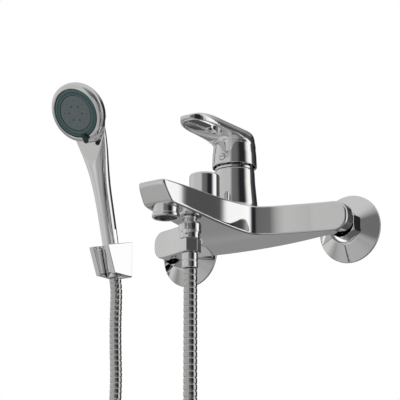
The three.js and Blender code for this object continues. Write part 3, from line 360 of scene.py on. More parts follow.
def turned(profile, radius=0.4, sides=96):
    """Points, faces and normals of a closed [radius, height] outline turned round z."""
    line = eased(profile, radius)
    if sum(a[0] * b[1] - b[0] * a[1] for a, b in zip(line, np.roll(line, -1, 0))) < 0:
        line = line[::-1]
    step = np.roll(line, -1, 0) - line
    out = np.stack([step[:, 1], -step[:, 0]], 1)
    lean = out + np.roll(out, 1, 0)
    on_axis = line[:, 0] < 1e-9
    lean[on_axis, 0] = 0
    lean /= np.maximum(np.linalg.norm(lean, axis=1), 1e-9)[:, None]
    angle = np.arange(sides) * 2 * math.pi / sides
    spin = np.stack([np.cos(angle), np.sin(angle)], 1)
    count = len(line)
    points = np.zeros((sides, count, 3))
    points[:, :, :2] = spin[:, None, :] * line[None, :, :1]
    points[:, :, 2] = line[:, 1]
    normals = np.zeros_like(points)
    normals[:, :, :2] = spin[:, None, :] * lean[None, :, :1]
    normals[:, :, 2] = lean[:, 1]
    faces = []
    for i in range(sides):
        a, b = i * count, (i + 1) % sides * count
        for j in range(count):
            k = (j + 1) % count
            if on_axis[j] and on_axis[k]:
                continue
            corners = [a + j, b + j, b + k, a + k]
            if on_axis[j]:
                corners = [a + j, b + k, a + k]
            elif on_axis[k]:
                corners = [a + j, b + j, a + k]
            faces.append(corners)
    return points.reshape(-1, 3), faces, normals.reshape(-1, 3)


def placed(solid, turn, shift):
    """The same solid, turned by a 3 by 3 matrix and moved."""
    points, faces, normals = solid
    turn = np.array(turn)
    return points @ turn.T + shift, faces, normals @ turn.T


def merged(solids):
    points, faces, normals, start = [], [], [], 0
    for p, f, n in solids:
        points.append(p)
        normals.append(n)
        faces.extend([[i + start for i in face] for face in f])
        start += len(p)
    return np.concatenate(points), faces, np.concatenate(normals)


UPRIGHT = np.eye(3)
FROM_WALL = np.array([[1, 0, 0], [0, 0, -1], [0, 1, 0]])  # z to -y, out from the wall


def about_x(angle):
    c, s = math.cos(angle), math.sin(angle)
    return np.array([[1, 0, 0], [0, c, -s], [0, s, c]])


ON_CUP = about_x(CUP_TILT)
ON_HEAD = about_x(FACE_TILT - math.pi / 2)

# ---------------------------------------------------------------- solids from distance fields


class Grid:
    """Sample points in a box, as three arrays that broadcast against each other."""

    def __init__(self, low, high, step):
        self.step = step * COARSE
        self.low = np.array(low, float) - 2 * self.step
        counts = np.ceil((np.array(high) + 2 * self.step - self.low) / self.step).astype(int) + 1
        lines = [self.low[i] + self.step * np.arange(counts[i]) for i in range(3)]
        self.x = lines[0].astype(np.float32)[:, None, None]
        self.y = lines[1].astype(np.float32)[None, :, None]
        self.z = lines[2].astype(np.float32)[None, None, :]
        self.shape = tuple(counts)


def both(a, b, r):
    """Where two solids overlap, with the edge between them rounded."""
    return np.minimum(np.maximum(a, b), -r) + np.hypot(np.maximum(a + r, 0), np.maximum(b + r, 0))


def either(a, b, r):
    """Two solids joined, with a fillet where they meet."""
    return np.maximum(np.minimum(a, b), r) - np.hypot(np.maximum(r - a, 0), np.maximum(r - b, 0))


def without(a, b, r):
    return both(a, -b, r)


def between(value, low, high):
    """A slab from low to high."""
    return np.abs(value - (low + high) / 2) - (high - low) / 2


def outline_distance(u, v, outline):
    """Signed distance from a closed outline, negative inside it."""
    points = np.array(outline, np.float32)
    nearest = np.float32(1e9)
    inside = False
    for (ax, ay), (bx, by) in zip(points, np.roll(points, -1, 0)):
        ex, ey = bx - ax, by - ay
        px, py = u - ax, v - ay
        t = np.clip((px * ex + py * ey) / (ex * ex + ey * ey), 0, 1)
        nearest = np.minimum(nearest, (px - t * ex) ** 2 + (py - t * ey) ** 2)
        if ey:
            inside = inside ^ (((ay > v) != (by > v)) & (u < ex * (v - ay) / ey + ax))
    return np.where(inside, -1, 1).astype(np.float32) * np.sqrt(nearest)


def softened(outline, times=3):
    """The closed outline with its corners cut again and again into a smooth curve."""
    points = np.array(outline, float)
    for _ in range(times):
        after = np.roll(points, -1, 0)
        cut = np.stack([0.75 * points + 0.25 * after, 0.25 * points + 0.75 * after], 1)
        points = cut.reshape(-1, 2)
    return points


def sampled(field, where):
    """The field's value at points given in grid steps, between samples by straight lines."""
    top = np.array(field.shape) - 1.001
    where = np.clip(where, 0, top)
    base = where.astype(int)
    t = (where - base).astype(np.float32)
    value = 0
    for corner in np.ndindex(2, 2, 2):
        weight = np.prod(np.where(corner, t, 1 - t), axis=1)
        value = value + weight * field[tuple((base + corner).T)]
    return value


def slope(field, where):
    reach = 0.75
    steps = np.eye(3) * reach
    rise = [sampled(field, where + s) - sampled(field, where - s) for s in steps]
    return np.stack(rise, 1) / (2 * reach)


def skin(grid, field):
    """Points, faces and normals of the surface where the field is zero."""
    field = np.broadcast_to(field, grid.shape).astype(np.float32)
    inside = field < 0
    nx, ny, nz = (count - 1 for count in inside.shape)
    corners = sum(
        inside[i:nx + i, j:ny + j, k:nz + k].astype(np.int8) for i, j, k in np.ndindex(2, 2, 2)
    )
    crossed = (corners > 0) & (corners < 8)
    index = np.full(crossed.shape, -1, np.int64)
    index[crossed] = np.arange(crossed.sum())
    total = np.zeros((crossed.sum(), 3))
    hits = np.zeros(len(total))
    faces = []
    for axis in range(3):
        ahead = np.eye(3, dtype=int)[axis]
        u, v = np.eye(3, dtype=int)[(axis + 1) % 3], np.eye(3, dtype=int)[(axis + 2) % 3]
        first = np.take(inside, range(inside.shape[axis] - 1), axis)
        second = np.take(inside, range(1, inside.shape[axis]), axis)
        start = np.argwhere(first != second)
        f0, f1 = field[tuple(start.T)], field[tuple((start + ahead).T)]
        spot = start + (f0 / (f0 - f1))[:, None] * ahead
        ring = np.stack([index[tuple((start - c).T)] for c in (u + v, v, 0 * u, u)], 1)
        for column in ring.T:
            np.add.at(total, column, spot)
            np.add.at(hits, column, 1)
        ring[f0 > 0] = ring[f0 > 0][:, ::-1]
        faces.append(ring)
    where = total / hits[:, None]
    for _ in range(3):
        g = slope(field, where)
        where = where - (sampled(field, where) / np.maximum((g * g).sum(1), 1e-6))[:, None] * g
    normals = slope(field, where)
    normals /= np.maximum(np.linalg.norm(normals, axis=1), 1e-9)[:, None]
    return grid.low + where * grid.step, np.concatenate(faces).tolist(), normals


# ---------------------------------------------------------------- mixer body


def body_plan():
    """Outline of the spout and the two arms seen from above, [x, y]."""
    tip, root = SPOUT_TIP, COLUMN_Y - 19
    arm_end, back = TAIL_X + 14, -24.5
    half = [
        (5, tip), (9.6, tip + 0.2), (13, tip + 1), (14.2, tip + 3.2), (15, tip + 9),
        (16.1, tip + 18), (17, tip + 28), (17.9, tip + 43), (18.6, tip + 56), (19.3, tip + 68),
        (20.4, tip + 82), (22.2, root - 15), (24.6, root), (27, root + 7.5), (32.3, root + 12),
        (44, -56.6), (TAIL_X - 30, -50), (TAIL_X - 10, -43), (arm_end - 5, -38.8),
        (arm_end - 1.5, -38.1), (arm_end, -36), (arm_end, -27), (arm_end - 1, back),
        (arm_end - 4, back), (TAIL_X - 12, back), (TAIL_X - 18, back), (TAIL_X / 2, -18),
        (10, -14),
    ]
    return half + [(-x, y) for x, y in reversed(half)]


def body_side():
    """Outline of the casting seen from the side, [y, z]."""
    tip = SPOUT_TIP
    return [
        (0, BODY_BOTTOM), (0, BODY_TOP), (-10, BODY_TOP), (tip + 12, BODY_TOP), (tip + 2, BODY_TOP),
        (tip, BODY_TOP - 0.3), (tip - 0.6, BODY_TOP - 1.4), (tip + 1.4, 13), (tip + 5.4, 7),
        (tip + 8.4, 2.8), (tip + 10.6, 0), (tip + 14.5, -1.5), (tip + 24, -2.2),
        (COLUMN_Y - 20, -9), (COLUMN_Y - 4, BODY_BOTTOM), (COLUMN_Y + 10, BODY_BOTTOM),
    ]


# The column that holds the cartridge: height and radius.
COLUMN_SHAPE = [(10, 22.6), (18, 22.4), (22, 21.2), (34, 20.1), (45, 19.1), (57, 18.6)]


def mixer_body():
    low, high = extent("mixer_body")
    g = Grid(low, high, 0.8)
    plan = outline_distance(g.x, g.y, softened(body_plan()))
    side = outline_distance(g.y, g.z, softened(body_side(), 2))
    arm_r = (BODY_TOP - BODY_BOTTOM) / 2
    past_tail = np.maximum(np.abs(g.x) - TAIL_X, 0)
    front = np.hypot(past_tail, g.z - (BODY_TOP + BODY_BOTTOM) / 2) - arm_r
    casting = both(both(plan, side, 1.7), front, 1.7)
    heights, radii = zip(*COLUMN_SHAPE)
    reach = np.hypot(g.x, g.y - COLUMN_Y)
    column = reach - np.interp(g.z, heights, radii).astype(np.float32)
    column = both(both(column, g.z - COLUMN_TOP, 0.8), 8 - g.z, 0.5)
    casting = either(casting, column, 1.2)
    tails = np.hypot(np.abs(g.x) - TAIL_X, g.z) - 8.5
    tails = both(both(tails, g.y + 19.6, 0.3), -26 - g.y, 0.3)
    casting = either(casting, tails, 0.3)
    # Room for the cartridge and its lock ring, the diverter, the aerator and the outlet.
    for centre, r, bottom, top in [
        (COLUMN_Y, 14.3, 20, 70), (COLUMN_Y, 16.7, 54.5, 70), (DIVERTER_Y, 7.6, 0.6, 30),
        (AERATOR_Y, 11.7, -20, 5.4), (OUTLET_Y, 6.3, -20, 3.3),
    ]:
        hole = both(np.hypot(g.x, g.y - centre) - r, between(g.z, bottom, top), 0.1)
        casting = without(casting, hole, 0.25)
    piece("mixer_casting", *skin(g, casting), "chrome", "mixer", ["mixer_body"])


# ---------------------------------------------------------------- wall roses and union nuts


CHAMFER_SINE, CHAMFER_COSINE = 0.57, 0.82  # the cone lies 35 degrees off the nut's end


def hex_field(u, v, along, flats, low, high, turn=0.0):
    """A hexagon nut whose ends are chamfered by a cone; turn moves its flats."""
    distance = None
    for i in range(3):
        a = turn + i * math.pi / 3
        face = np.abs(u * math.cos(a) + v * math.sin(a)) - flats / 2
        distance = face if distance is None else both(distance, face, 0.35)
    nut = both(distance, between(along, low, high), 0.3)
    reach = np.hypot(u, v)
    for end in (low, high):
        inward = reach - flats / 2 - 0.5
        cone = inward * CHAMFER_SINE - np.abs(along - end) * CHAMFER_COSINE
        nut = both(nut, cone, 0.25)
    return nut


def rose(label, side):
    """A wall rose: a thin cone open towards the wall."""
    rim, height, edge_r, neck_r = 2.0, 9.7, 31.6, 15.8
    profile = [
        (edge_r, 0), (edge_r, rim), (neck_r, height), (13.4, height), (13.4, height - 1.2),
        (neck_r - 1, height - 1.2), (edge_r - 1.3, rim - 0.6), (edge_r - 1.3, 0),
    ]
    shape = placed(turned(profile, 0.7, 128), FROM_WALL, (side * INLET_X, 0, 0))
    piece("rose_" + label, *shape, "chrome", "mixer", ["escutcheon_" + label])


def union_nut(label, side):
    node = "union_nut_" + label
    low, high = extent(node)
    g = Grid(low, high, 0.45)
    near, far = -high[1], -low[1]
    u = g.x - side * TAIL_X
    nut = hex_field(u, g.z, -g.y, UNION_NUT_FLATS, near, far)
    reach = np.hypot(u, g.z)
    bore = both(reach - 10.6, -g.y - (far - 2.5), 0.2)
    nut = without(without(nut, bore, 0.3), reach - 8.8, 0.3)
    piece("hex_nut_" + label, *skin(g, nut), "chrome", "mixer", [node])


# ---------------------------------------------------------------- lever


def curve(*controls, count=14):
    """Points of a Bezier curve, without its last one."""
    points = np.array(controls, float)
    out = []
    for t in np.arange(count) / count:
        level = points
        while len(level) > 1:
            level = level[:-1] * (1 - t) + level[1:] * t
        out.append(tuple(level[0]))
    return out


LEVER_LENGTH = 79.0
LEVER_HALF = 17.0
LEVER_TOP = 98.0
LEVER_UNDER = 86.0
SKIRT_R = 20.9


def lever_plan():
    tip, half, r = -LEVER_LENGTH, LEVER_HALF, SKIRT_R - 2.2
    back = [(r * math.cos(a), r * math.sin(a)) for a in np.linspace(0, math.pi, 64)[:-1]]
    return (
        back
        + curve((-r, 0), (-r, -16), (-half - 0.5, -24), (-half, -44))
        + curve((-half, -44), (-half, tip + 16), (-10, tip), (0, tip))
        + curve((0, tip), (10, tip), (half, tip + 16), (half, -44))
        + curve((half, -44), (half + 0.5, -24), (r, -16), (r, 0))
    )


def blade_side():
    tip, top, under, r = -LEVER_LENGTH, LEVER_TOP, LEVER_UNDER, SKIRT_R
    return (
        curve((r - 0.8, under - 8), (r - 2, top - 6), (r - 8, top), (0, top))
        + curve((0, top), (-24, top), (tip + 30, top - 1), (tip + 10, top - 4))
        + curve((tip + 10, top - 4), (tip + 3, top - 5.5), (tip, top - 7), (tip, under + 2.5))
        + curve((tip, under + 2.5), (tip + 1, under), (tip + 8, under), (tip + 20, under))
        + curve((tip + 20, under), (-40, under), (-r - 4, under), (4 - r, under - 1))
    )


def lever_handle():
    low, high = extent("lever_handle")
    g = Grid(low, high, 0.5)
    y = g.y - COLUMN_Y
    plan = outline_distance(g.x, y, lever_plan())
    side = outline_distance(y, g.z, blade_side())
    crown = (g.z - (LEVER_TOP - 7 * (g.x / SKIRT_R) ** 2)) * 0.9
    blade = both(both(plan, crown, 5.5), side, 1.0)
    reach = np.hypot(g.x, y)
    heights, radii = [60, 72, 81, 88, 90], [20.9, 20.5, 19.6, 17.4, 16]
    neck = reach - np.interp(g.z, heights, radii).astype(np.float32)
    neck = both(both(neck, SKIRT_BOTTOM - g.z, 0.6), g.z - LEVER_UNDER - 3, 0.5)
    hollow = reach - np.interp(g.z, [60, 70, 80], [19.2, 18.8, 16.5]).astype(np.float32)
    hollow = both(hollow, g.z - 79, 1.0)
    # The dished underside of the loop and the long slot through it.
    dish = (np.sqrt((g.x / 15.8) ** 2 + ((y + 47) / 30.5) ** 2 + ((g.z - 84.5) / 6) ** 2) - 1) * 6
    slot = np.hypot(g.x, np.maximum(np.maximum(y + 29.4, -y - 62.5), 0)) - 6.5
    slot = both(slot, 75 - g.z, 0.1)
    blade = without(without(blade, dish, 0.8), slot, 0.9)
    solid = without(either(blade, neck, 2.5), hollow, 0.4)
    # The boss inside the neck, its square socket for the stem, and the plug's seat in front.
    boss = both(both(reach - 7.5, 63 - g.z, 0.3), g.z - 86, 0.3)
    solid = either(solid, boss, 0.8)
    socket = both(np.maximum(np.abs(g.x), np.abs(y)) - 3.8, g.z - 77.3, 0.1)
    seat = both(np.hypot(g.x, g.z - 67) - 3.3, y + 15, 0.1)
    solid = without(without(solid, socket, 0.1), seat, 0.2)
    piece("lever_casting", *skin(g, solid), "chrome", "lever", ["lever_handle"])


def index_plug():
    low, high = extent("index_plug")
    front = low[1] + 0.5
    disc = turned([(0, -2.4), (3, -2.4), (3, 0.1), (0, 0.7)], 0.35, 48)
    centre = np.array([0, front, (low[2] + high[2]) / 2])
    piece("index_disc", *placed(disc, FROM_WALL, centre),
          "white_plastic", "lever", ["index_plug"], look=CHROME)
    for name, shift, look in (("hot", 1.15, HOT), ("cold", -1.15, COLD)):
        dot = turned([(0, 0.3), (0.62, 0.3), (0.62, 0.62), (0, 0.72)], 0.1, 20)
        piece("index_dot_" + name, *placed(dot, FROM_WALL, centre + (shift, 0, 0.1)),
              "white_plastic", "lever", look=look)


# ---------------------------------------------------------------- turned pieces on the body


def trim_ring():
    profile = [(17.0, 57.3), (18.3, 57.3), (18.3, 59.3), (17.9, 59.7), (17.0, 59.7)]
    piece("trim_band", *placed(turned(profile, 0.3, 128), UPRIGHT, (0, COLUMN_Y, 0)),
          "chrome", "mixer", ["trim_ring"])


def diverter_knob():
    low, high = extent("diverter_knob")
    r, bottom, top = (high[0] - low[0]) / 2, low[2], high[2]
    profile = [
        (0, top), (r - 1.4, top), (r, top - 1.6), (r, bottom), (r - 1.2, bottom),
        (9.4, bottom + 0.6), (9.4, top - 5.5), (0, top - 5.5),
    ]
    piece("pull_knob", *placed(turned(profile, 1.0, 128), UPRIGHT, (0, DIVERTER_Y, 0)),
          "chrome", "diverter", ["diverter_knob"])


def diverter_spring():
    """The return spring under the guide bush, a coil of round wire."""
    low, high = extent("diverter_spring")
    wire, turns, around, sides = 0.45, 7, 26, 10
    coil_r = (high[0] - low[0]) / 2 - wire
    steps = turns * around
    share = np.arange(steps + 1) / steps
    angle = share * turns * 2 * math.pi
    out = np.stack([np.cos(angle), np.sin(angle), 0 * angle], 1)
    rise = low[2] + wire + (high[2] - low[2] - 2 * wire) * share
    centre = out * coil_r + np.stack([0 * share, DIVERTER_Y + 0 * share, rise], 1)
    spin = np.arange(sides) * 2 * math.pi / sides
    up = np.array([0, 0, 1.0])
    ring = out[:, None] * np.cos(spin)[None, :, None] + up * np.sin(spin)[None, :, None]
    points = (centre[:, None] + ring * wire).reshape(-1, 3)
    faces = [list(range(sides)), [steps * sides + j for j in range(sides)][::-1]]
    for i in range(steps):
        for j in range(sides):
            k = (j + 1) % sides
            faces.append([i * sides + j, (i + 1) * sides + j, (i + 1) * sides + k, i * sides + k])
    spring = piece("return_spring", points, faces, None, "steel", "mixer", ["diverter_spring"])
    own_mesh(spring)


def aerator():
    low, high = extent("aerator_housing")
    r, bottom, top = (high[0] - low[0]) / 2, low[2], high[2]
    inner = extent("aerator_insert")[1][0]
    profile = [
        (inner + 0.3, bottom), (r - 0.7, bottom), (r, bottom + 0.9), (r, bottom + 3),
        (r - 0.8, bottom + 3.5), (r - 0.8, top), (inner - 1.5, top), (inner - 1.5, top - 1.5),
        (inner + 0.3, top - 1.5),
    ]
    shift = (0, AERATOR_Y, 0)
    piece("aerator_ring", *placed(turned(profile, 0.4, 96), UPRIGHT, shift),
          "chrome", "mixer", ["aerator_housing"])
    low, high = extent("aerator_insert")
    g = Grid(low, high, 0.3)
    y = g.y - AERATOR_Y
    disc = both(np.hypot(g.x, y) - inner, between(g.z, low[2], high[2]), 0.3)
    pitch = 2.3
    across = [g.x * math.cos(a) + y * math.sin(a) for a in (0, math.pi / 3, 2 * math.pi / 3)]
    bars = [0.42 - np.abs((u / pitch - np.floor(u / pitch)) - 0.5) * pitch * 0.9 for u in across]
    cells = np.maximum(bars[0], np.maximum(bars[1], bars[2]))
    cells = both(both(cells, np.hypot(g.x, y) - inner + 1.2, 0.1), g.z - high[2] + 3, 0.1)
    piece("aerator_mesh", *skin(g, without(disc, cells, 0.1)),
          "black_plastic", "mixer", ["aerator_insert"])


def outlet():
    shift = (0, OUTLET_Y, 0)
    profile = [
        (6, 3), (6, -7), (9.1, -7.8), (10, -9.6), (10, -15.4), (9, -18), (9, -22.4), (7.4, -22.4),
        (7.4, -28.5), (5.3, -28.5), (5.3, -9), (3.2, -8), (3.2, 3),
    ]
    piece("outlet_body", *placed(turned(profile, 0.5, 96), UPRIGHT, shift), "chrome", "mixer",
          ["shower_outlet_nipple"])
    # Two dark discs on the outlet's side, painted shade of small holes.
    dot = turned([(0, -0.1), (0.55, -0.1), (0.55, 0.12), (0, 0.15)], 0.05, 16)
    for name, turn in (("a", -42), ("b", -30)):
        c, s = math.cos(math.radians(turn)), math.sin(math.radians(turn))
        face = np.array([[-s, 0, c], [c, 0, s], [0, 1, 0]])
        piece("outlet_hole_shade_" + name, *placed(dot, face, (10 * c, OUTLET_Y + 10 * s, -12.3)),
              "black_plastic", "mixer", look=JET_HOLE_SHADE)
    low, high = extent("outlet_hose_nut")
    g = Grid(low, high, 0.35)
    y = g.y - OUTLET_Y
    nut = hex_field(g.x, y, g.z, HOSE_NUT_FLATS, low[2], high[2], turn=math.pi / 12)
    reach = np.hypot(g.x, y)
    bore = both(reach - 7.7, low[2] + 2.1 - g.z, 0.1)
    nut = without(without(nut, bore, 0.2), reach - HOSE_R, 0.2)
    piece("hose_nut", *skin(g, nut), "chrome", "mixer", ["outlet_hose_nut"])
    ferrule = [
        (3.6, -30.6), (7.2, -30.6), (7.2, -32.2), (5.6, -32.2), (5.6, -34.9), (7, -35.5), (7, -41),
        (6.7, -41.5), (6.7, -42.3), (7, -42.8), (7, -48.1), (6.4, -48.7), (3.6, -48.7),
    ]
    piece("hose_ferrule", *placed(turned(ferrule, 0.3, 72), UPRIGHT, shift),
          "chrome", "mixer", ["outlet_ferrule"])


# ---------------------------------------------------------------- bracket and the hose end in it


def on_cup_axes(g):
    """Coordinates along the tilted cup: across, from front to back, and up its axis."""
    y, z = g.y - CUP[1], g.z - CUP[2]
    c, s = math.cos(CUP_TILT), math.sin(CUP_TILT)
    return g.x - CUP[0], y * c + z * s, -y * s + z * c


def shower_bracket():
    low, high = extent("shower_bracket")
    g = Grid(low, high, 0.45)
    side = outline_distance(g.y, g.z, [(0, -12.4), (-27.7, -12.7), (-40, 14.5), (0, 24.7)])
    half = (high[0] - low[0]) / 2
    block = both(side, np.abs(g.x - BRACKET_X) - half, 0.6)
    u, v, t = on_cup_axes(g)
    cup = np.hypot(u, v) - (9.04 + 0.04 * (t + 12))
    slot = both(np.abs(u) - 6.7, v, 0.1)
    block = without(without(block, cup, 0.5), slot, 0.5)
    pocket = both(np.abs(g.x - BRACKET_X) - half + 2, -3.6 - g.y, 0.1)
    pocket = both(pocket, between(g.z, 0, 22.5), 0.1)
    from_screw = np.hypot(g.x - BRACKET_X, g.z - 9)
    screw = np.minimum(both(from_screw - 3.1, g.y + 5.5, 0.1), from_screw - 1.8)
    screw = both(screw, -20 - g.y, 0.1)
    block = without(without(block, pocket, 0.2), screw, 0.2)
    piece("bracket_casting", *skin(g, block), "chrome", "mixer", ["shower_bracket"])


def hose_end():
    ferrule = [
        (3.6, -7.4), (7.2, -7.4), (7.2, -9), (5.6, -9), (5.6, -12.3), (7, -12.9), (7, -16.4),
        (6.4, -17), (3.6, -17),
    ]
    piece("end_ferrule", *placed(turned(ferrule, 0.3, 72), ON_CUP, CUP),
          "chrome", "hose_end", ["hose_end_ferrule"])
    nut = [
        (6, -12), (8.1, -12), (8.6, -11.5), (8.66, -10.4), (8.4, -10.1), (8.45, -9.4),
        (8.74, -9.1), (9.56, 12.2), (9, 13), (7.4, 13), (7.4, -9.3), (6, -9.3),
    ]
    piece("cone_nut", *placed(turned(nut, 0.25, 96), ON_CUP, CUP),
          "chrome", "handset", ["hose_cone_nut"])


# ---------------------------------------------------------------- handset

# Middle line of the handle: height, depth, half width and half thickness.
HANDLE = [
    (13, -19, 8, 8), (16.9, -19.8, 8, 8), (28, -22.6, 8.2, 8.2), (52, -29, 8.5, 8.4),
    (76, -36.3, 9.3, 8.7), (94.5, -42.2, 11.8, 9), (111, -48.6, 15.6, 9.4),
    (127, -56.5, 19.5, 9.4), (136, -61.5, 20.5, 9),
]


def handset_shell():
    low, high = extent("handset_shell")
    g = Grid(low, high, 0.6)
    y, z = g.y - HEAD[1], g.z - HEAD[2]
    c, s = math.cos(FACE_TILT), math.sin(FACE_TILT)
    x = g.x - BRACKET_X
    behind = y * c + z * s
    reach = np.hypot(x, -y * s + z * c)
    profile = [
        (-12, 1.5), (HEAD_R - 0.6, 1.5), (HEAD_R, 2.1), (HEAD_R, 4.5), (HEAD_R - 1, 8.6),
        (HEAD_R - 3.9, 13.2), (HEAD_R - 10, 18), (HEAD_R - 18, 20.8), (8, 21.8), (-12, 22),
    ]
    head = outline_distance(reach, behind, softened(profile, 2))
    line = softened_line(HANDLE, 3)
    deep_at, across_at, thick_at = [
        np.interp(g.z, line[:, 0], line[:, i]).astype(np.float32) for i in (1, 2, 3)
    ]
    lean = math.cos(math.radians(19))
    round_form = np.sqrt((x / across_at) ** 2 + ((g.y - deep_at) * lean / thick_at) ** 2)
    handle = (round_form - 1) * np.minimum(across_at, thick_at)
    facet = -0.988 * (g.y + 53.4) - 0.154 * (g.z - 99)  # the flat front under the head
    handle = both(handle, facet, 0.5)
    handle = both(both(handle, 13.4 - g.z + 0.25 * (g.y + 19), 0.5), g.z - 136, 0.5)
    handle = without(handle, both(behind - 1.6, reach - HEAD_R - 0.3, 0.1), 0.3)
    solid = either(head, handle, 2.2)
    u, v, t = on_cup_axes(g)
    spigot = both(np.hypot(u, v) - 7.1, between(t, -6.2, 14), 0.2)
    solid = either(solid, spigot, 0.2)
    cavity = both(reach - HEAD_R + 2.8, between(behind, -1.5, 11.5), 0.5)
    solid = without(solid, cavity, 0.2)
    piece("handset_casting", *skin(g, solid), "chrome", "handset", ["handset_shell"])


def softened_line(points, times):
    """An open line of stations smoothed the same way as an outline, its two ends kept."""
    points = np.array(points, float)
    for _ in range(times):
        start, end = points[:-1], points[1:]
        cut = np.stack([0.75 * start + 0.25 * end, 0.25 * start + 0.75 * end], 1)
        points = np.concatenate([points[:1], cut.reshape(-1, points.shape[1]), points[-1:]])
    return points


def on_head(solid):
    return placed(solid, ON_HEAD, HEAD)


def spray_face():
    ring = [
        (FACE_R + 0.3, -1.2), (FACE_R + 1, -1.9), (FACE_R + 1.8, -1.8), (FACE_R + 3.2, -1.3),
        (FACE_R + 4.4, -0.5), (FACE_R + 5.2, 0.4), (HEAD_R, 1.2), (FACE_R + 0.3, 1.2),
    ]
    piece("face_rim", *on_head(turned(ring, 0.45, 160)), "chrome", "handset", ["handset_face_ring"])
    band = [
        (INNER_DISC_R + 0.3, -1.2), (INNER_DISC_R + 0.8, -1.6), (FACE_R - 1.2, -1.6),
        (FACE_R, -0.6), (FACE_R, 2.4), (INNER_DISC_R + 0.3, 2.4),
    ]
    piece("nozzle_band", *on_head(turned(band, 0.3, 128)),
          "dark_plastic", "selector", ["nozzle_ring"])
    nub = turned([(0, -2.2), (0.6, -2.3), (1.0, -1.4), (0, -1.4)], 0.12, 12)
    count, r = 48, 21.8
    spots = [(r * math.cos(a), r * math.sin(a), 0) for a in np.arange(count) * 2 * math.pi / count]
    piece("nozzle_nubs", *on_head(merged([placed(nub, UPRIGHT, s) for s in spots])),
          "dark_plastic", "selector", look=RUBBER_NUB)
    rim = INNER_DISC_R
    plate = [(0, -1.25), (rim - 0.9, -1.4), (rim, -0.9), (rim, 2.4), (0, 2.4)]
    piece("spray_disc", *on_head(turned(plate, 0.4, 128)),
          "grey_plastic", "handset", ["spray_plate"])
    # The jets are dark discs on the plate, painted shade standing for the holes.
    jets = []
    for count, r, size in ((6, 7.8, 0.7), (8, 13.4, 0.4)):
        hole = turned([(0, -1.45), (size, -1.5), (size * 1.15, -1.3), (0, -1.2)], 0.06, 16)
        turns = np.arange(count) * 2 * math.pi / count + 0.2
        jets += [placed(hole, UPRIGHT, (r * math.cos(a), r * math.sin(a), 0)) for a in turns]
    piece("spray_jet_shade", *on_head(merged(jets)), "grey_plastic", "handset", look=JET_HOLE_SHADE)


def selector_tab():
    g = Grid((-9, 20, -5.5), (9, 33, -1), 0.25)
    u, v, t = g.x, g.y, g.z
    turn = math.radians(-5)
    u, v = u * math.cos(turn) + v * math.sin(turn), -u * math.sin(turn) + v * math.cos(turn)
    tab = np.hypot(u, np.maximum(v - (HEAD_R - 1.2), 0)) - 2.6
    tab = both(both(tab, 22 - v, 0.3), between(t, -4.4, -1.9), 0.6)
    lug = both(both(between(u, 1, 4.2), between(v, 26.1, 28.7), 0.4), between(t, -4.2, -2.2), 0.4)
    piece("selector_lever", *on_head(skin(g, either(tab, lug, 0.5))),
          "black_plastic", "selector", ["selector_tab"])


# ---------------------------------------------------------------- hose

# The hose's middle line: down from the outlet, round the hanging coil, up to the bracket's cup.
OUTLET_RUN = [
    (0, -126.6, -49), (0, -126.6, -60), (0, -126.6, -72), (0, -126.6, -96), (0, -126.6, -120),
    (0, -126.6, -142), (-0.4, -126, -160), (-2.6, -122.4, -178), (-7.5, -115, -195),
    (-13.6, -105, -211), (-19, -95.6, -226), (-22.5, -89.5, -239.4), (-24.2, -86.4, -258),
]
COIL = {"x": -87, "z": -280, "r": 62.5, "turns": 2.5, "front": -85.4, "back": -54.6}
SHOWER_RUN = [
    (-149.8, -53.6, -258), (-151.5, -50.4, -239.4), (-154.4, -45.5, -226), (-159, -38, -210),
    (-164.4, -29.4, -193), (-169.4, -20.8, -175), (-173.2, -13.4, -155), (-175, -9.2, -135),
    (-175.6, -8, -112), (-176, -8.8, -88), (-176, -9.6, -64), (-175.6, -9.8, -44),
    (-175.4, -10, -27), (-175.4, -12.35, -13.6),
]
RIB_PITCH = 5.6
# One rib: the place along it, and how far it stands out from the hose's radius there.
RIB_SHAPE = [(0.0, -0.8), (0.1, -0.14), (0.22, 0.0), (0.78, 0.0), (0.9, -0.14)]


def hose_route():
    steps = int(COIL["turns"] * 14)
    loop = []
    for i in range(steps + 1):
        share = i / steps
        angle = -2 * math.pi * COIL["turns"] * share
        loop.append((COIL["x"] + COIL["r"] * math.cos(angle),
                     COIL["front"] + (COIL["back"] - COIL["front"]) * share,
                     COIL["z"] + COIL["r"] * math.sin(angle)))
    return OUTLET_RUN + loop + SHOWER_RUN


def through(points, spacing):
    """Evenly spaced points on a smooth curve through the given ones."""
    p = np.array(points, float)
    p = np.concatenate([[2 * p[0] - p[1]], p, [2 * p[-1] - p[-2]]])
    fine = []
    for a, b, c, d in zip(p, p[1:], p[2:], p[3:]):
        for t in np.arange(24) / 24:
            square = (2 * a - 5 * b + 4 * c - d) * t * t
            cube = (3 * b - a - 3 * c + d) * t ** 3
            fine.append(0.5 * (2 * b + (c - a) * t + square + cube))
    fine = np.array(fine + [p[-2]])
    along = np.concatenate([[0], np.cumsum(np.linalg.norm(np.diff(fine, axis=0), axis=1))])
    marks = np.linspace(0, along[-1], int(along[-1] / spacing) + 1)
    return np.stack([np.interp(marks, along, fine[:, i]) for i in range(3)], 1), along[-1]


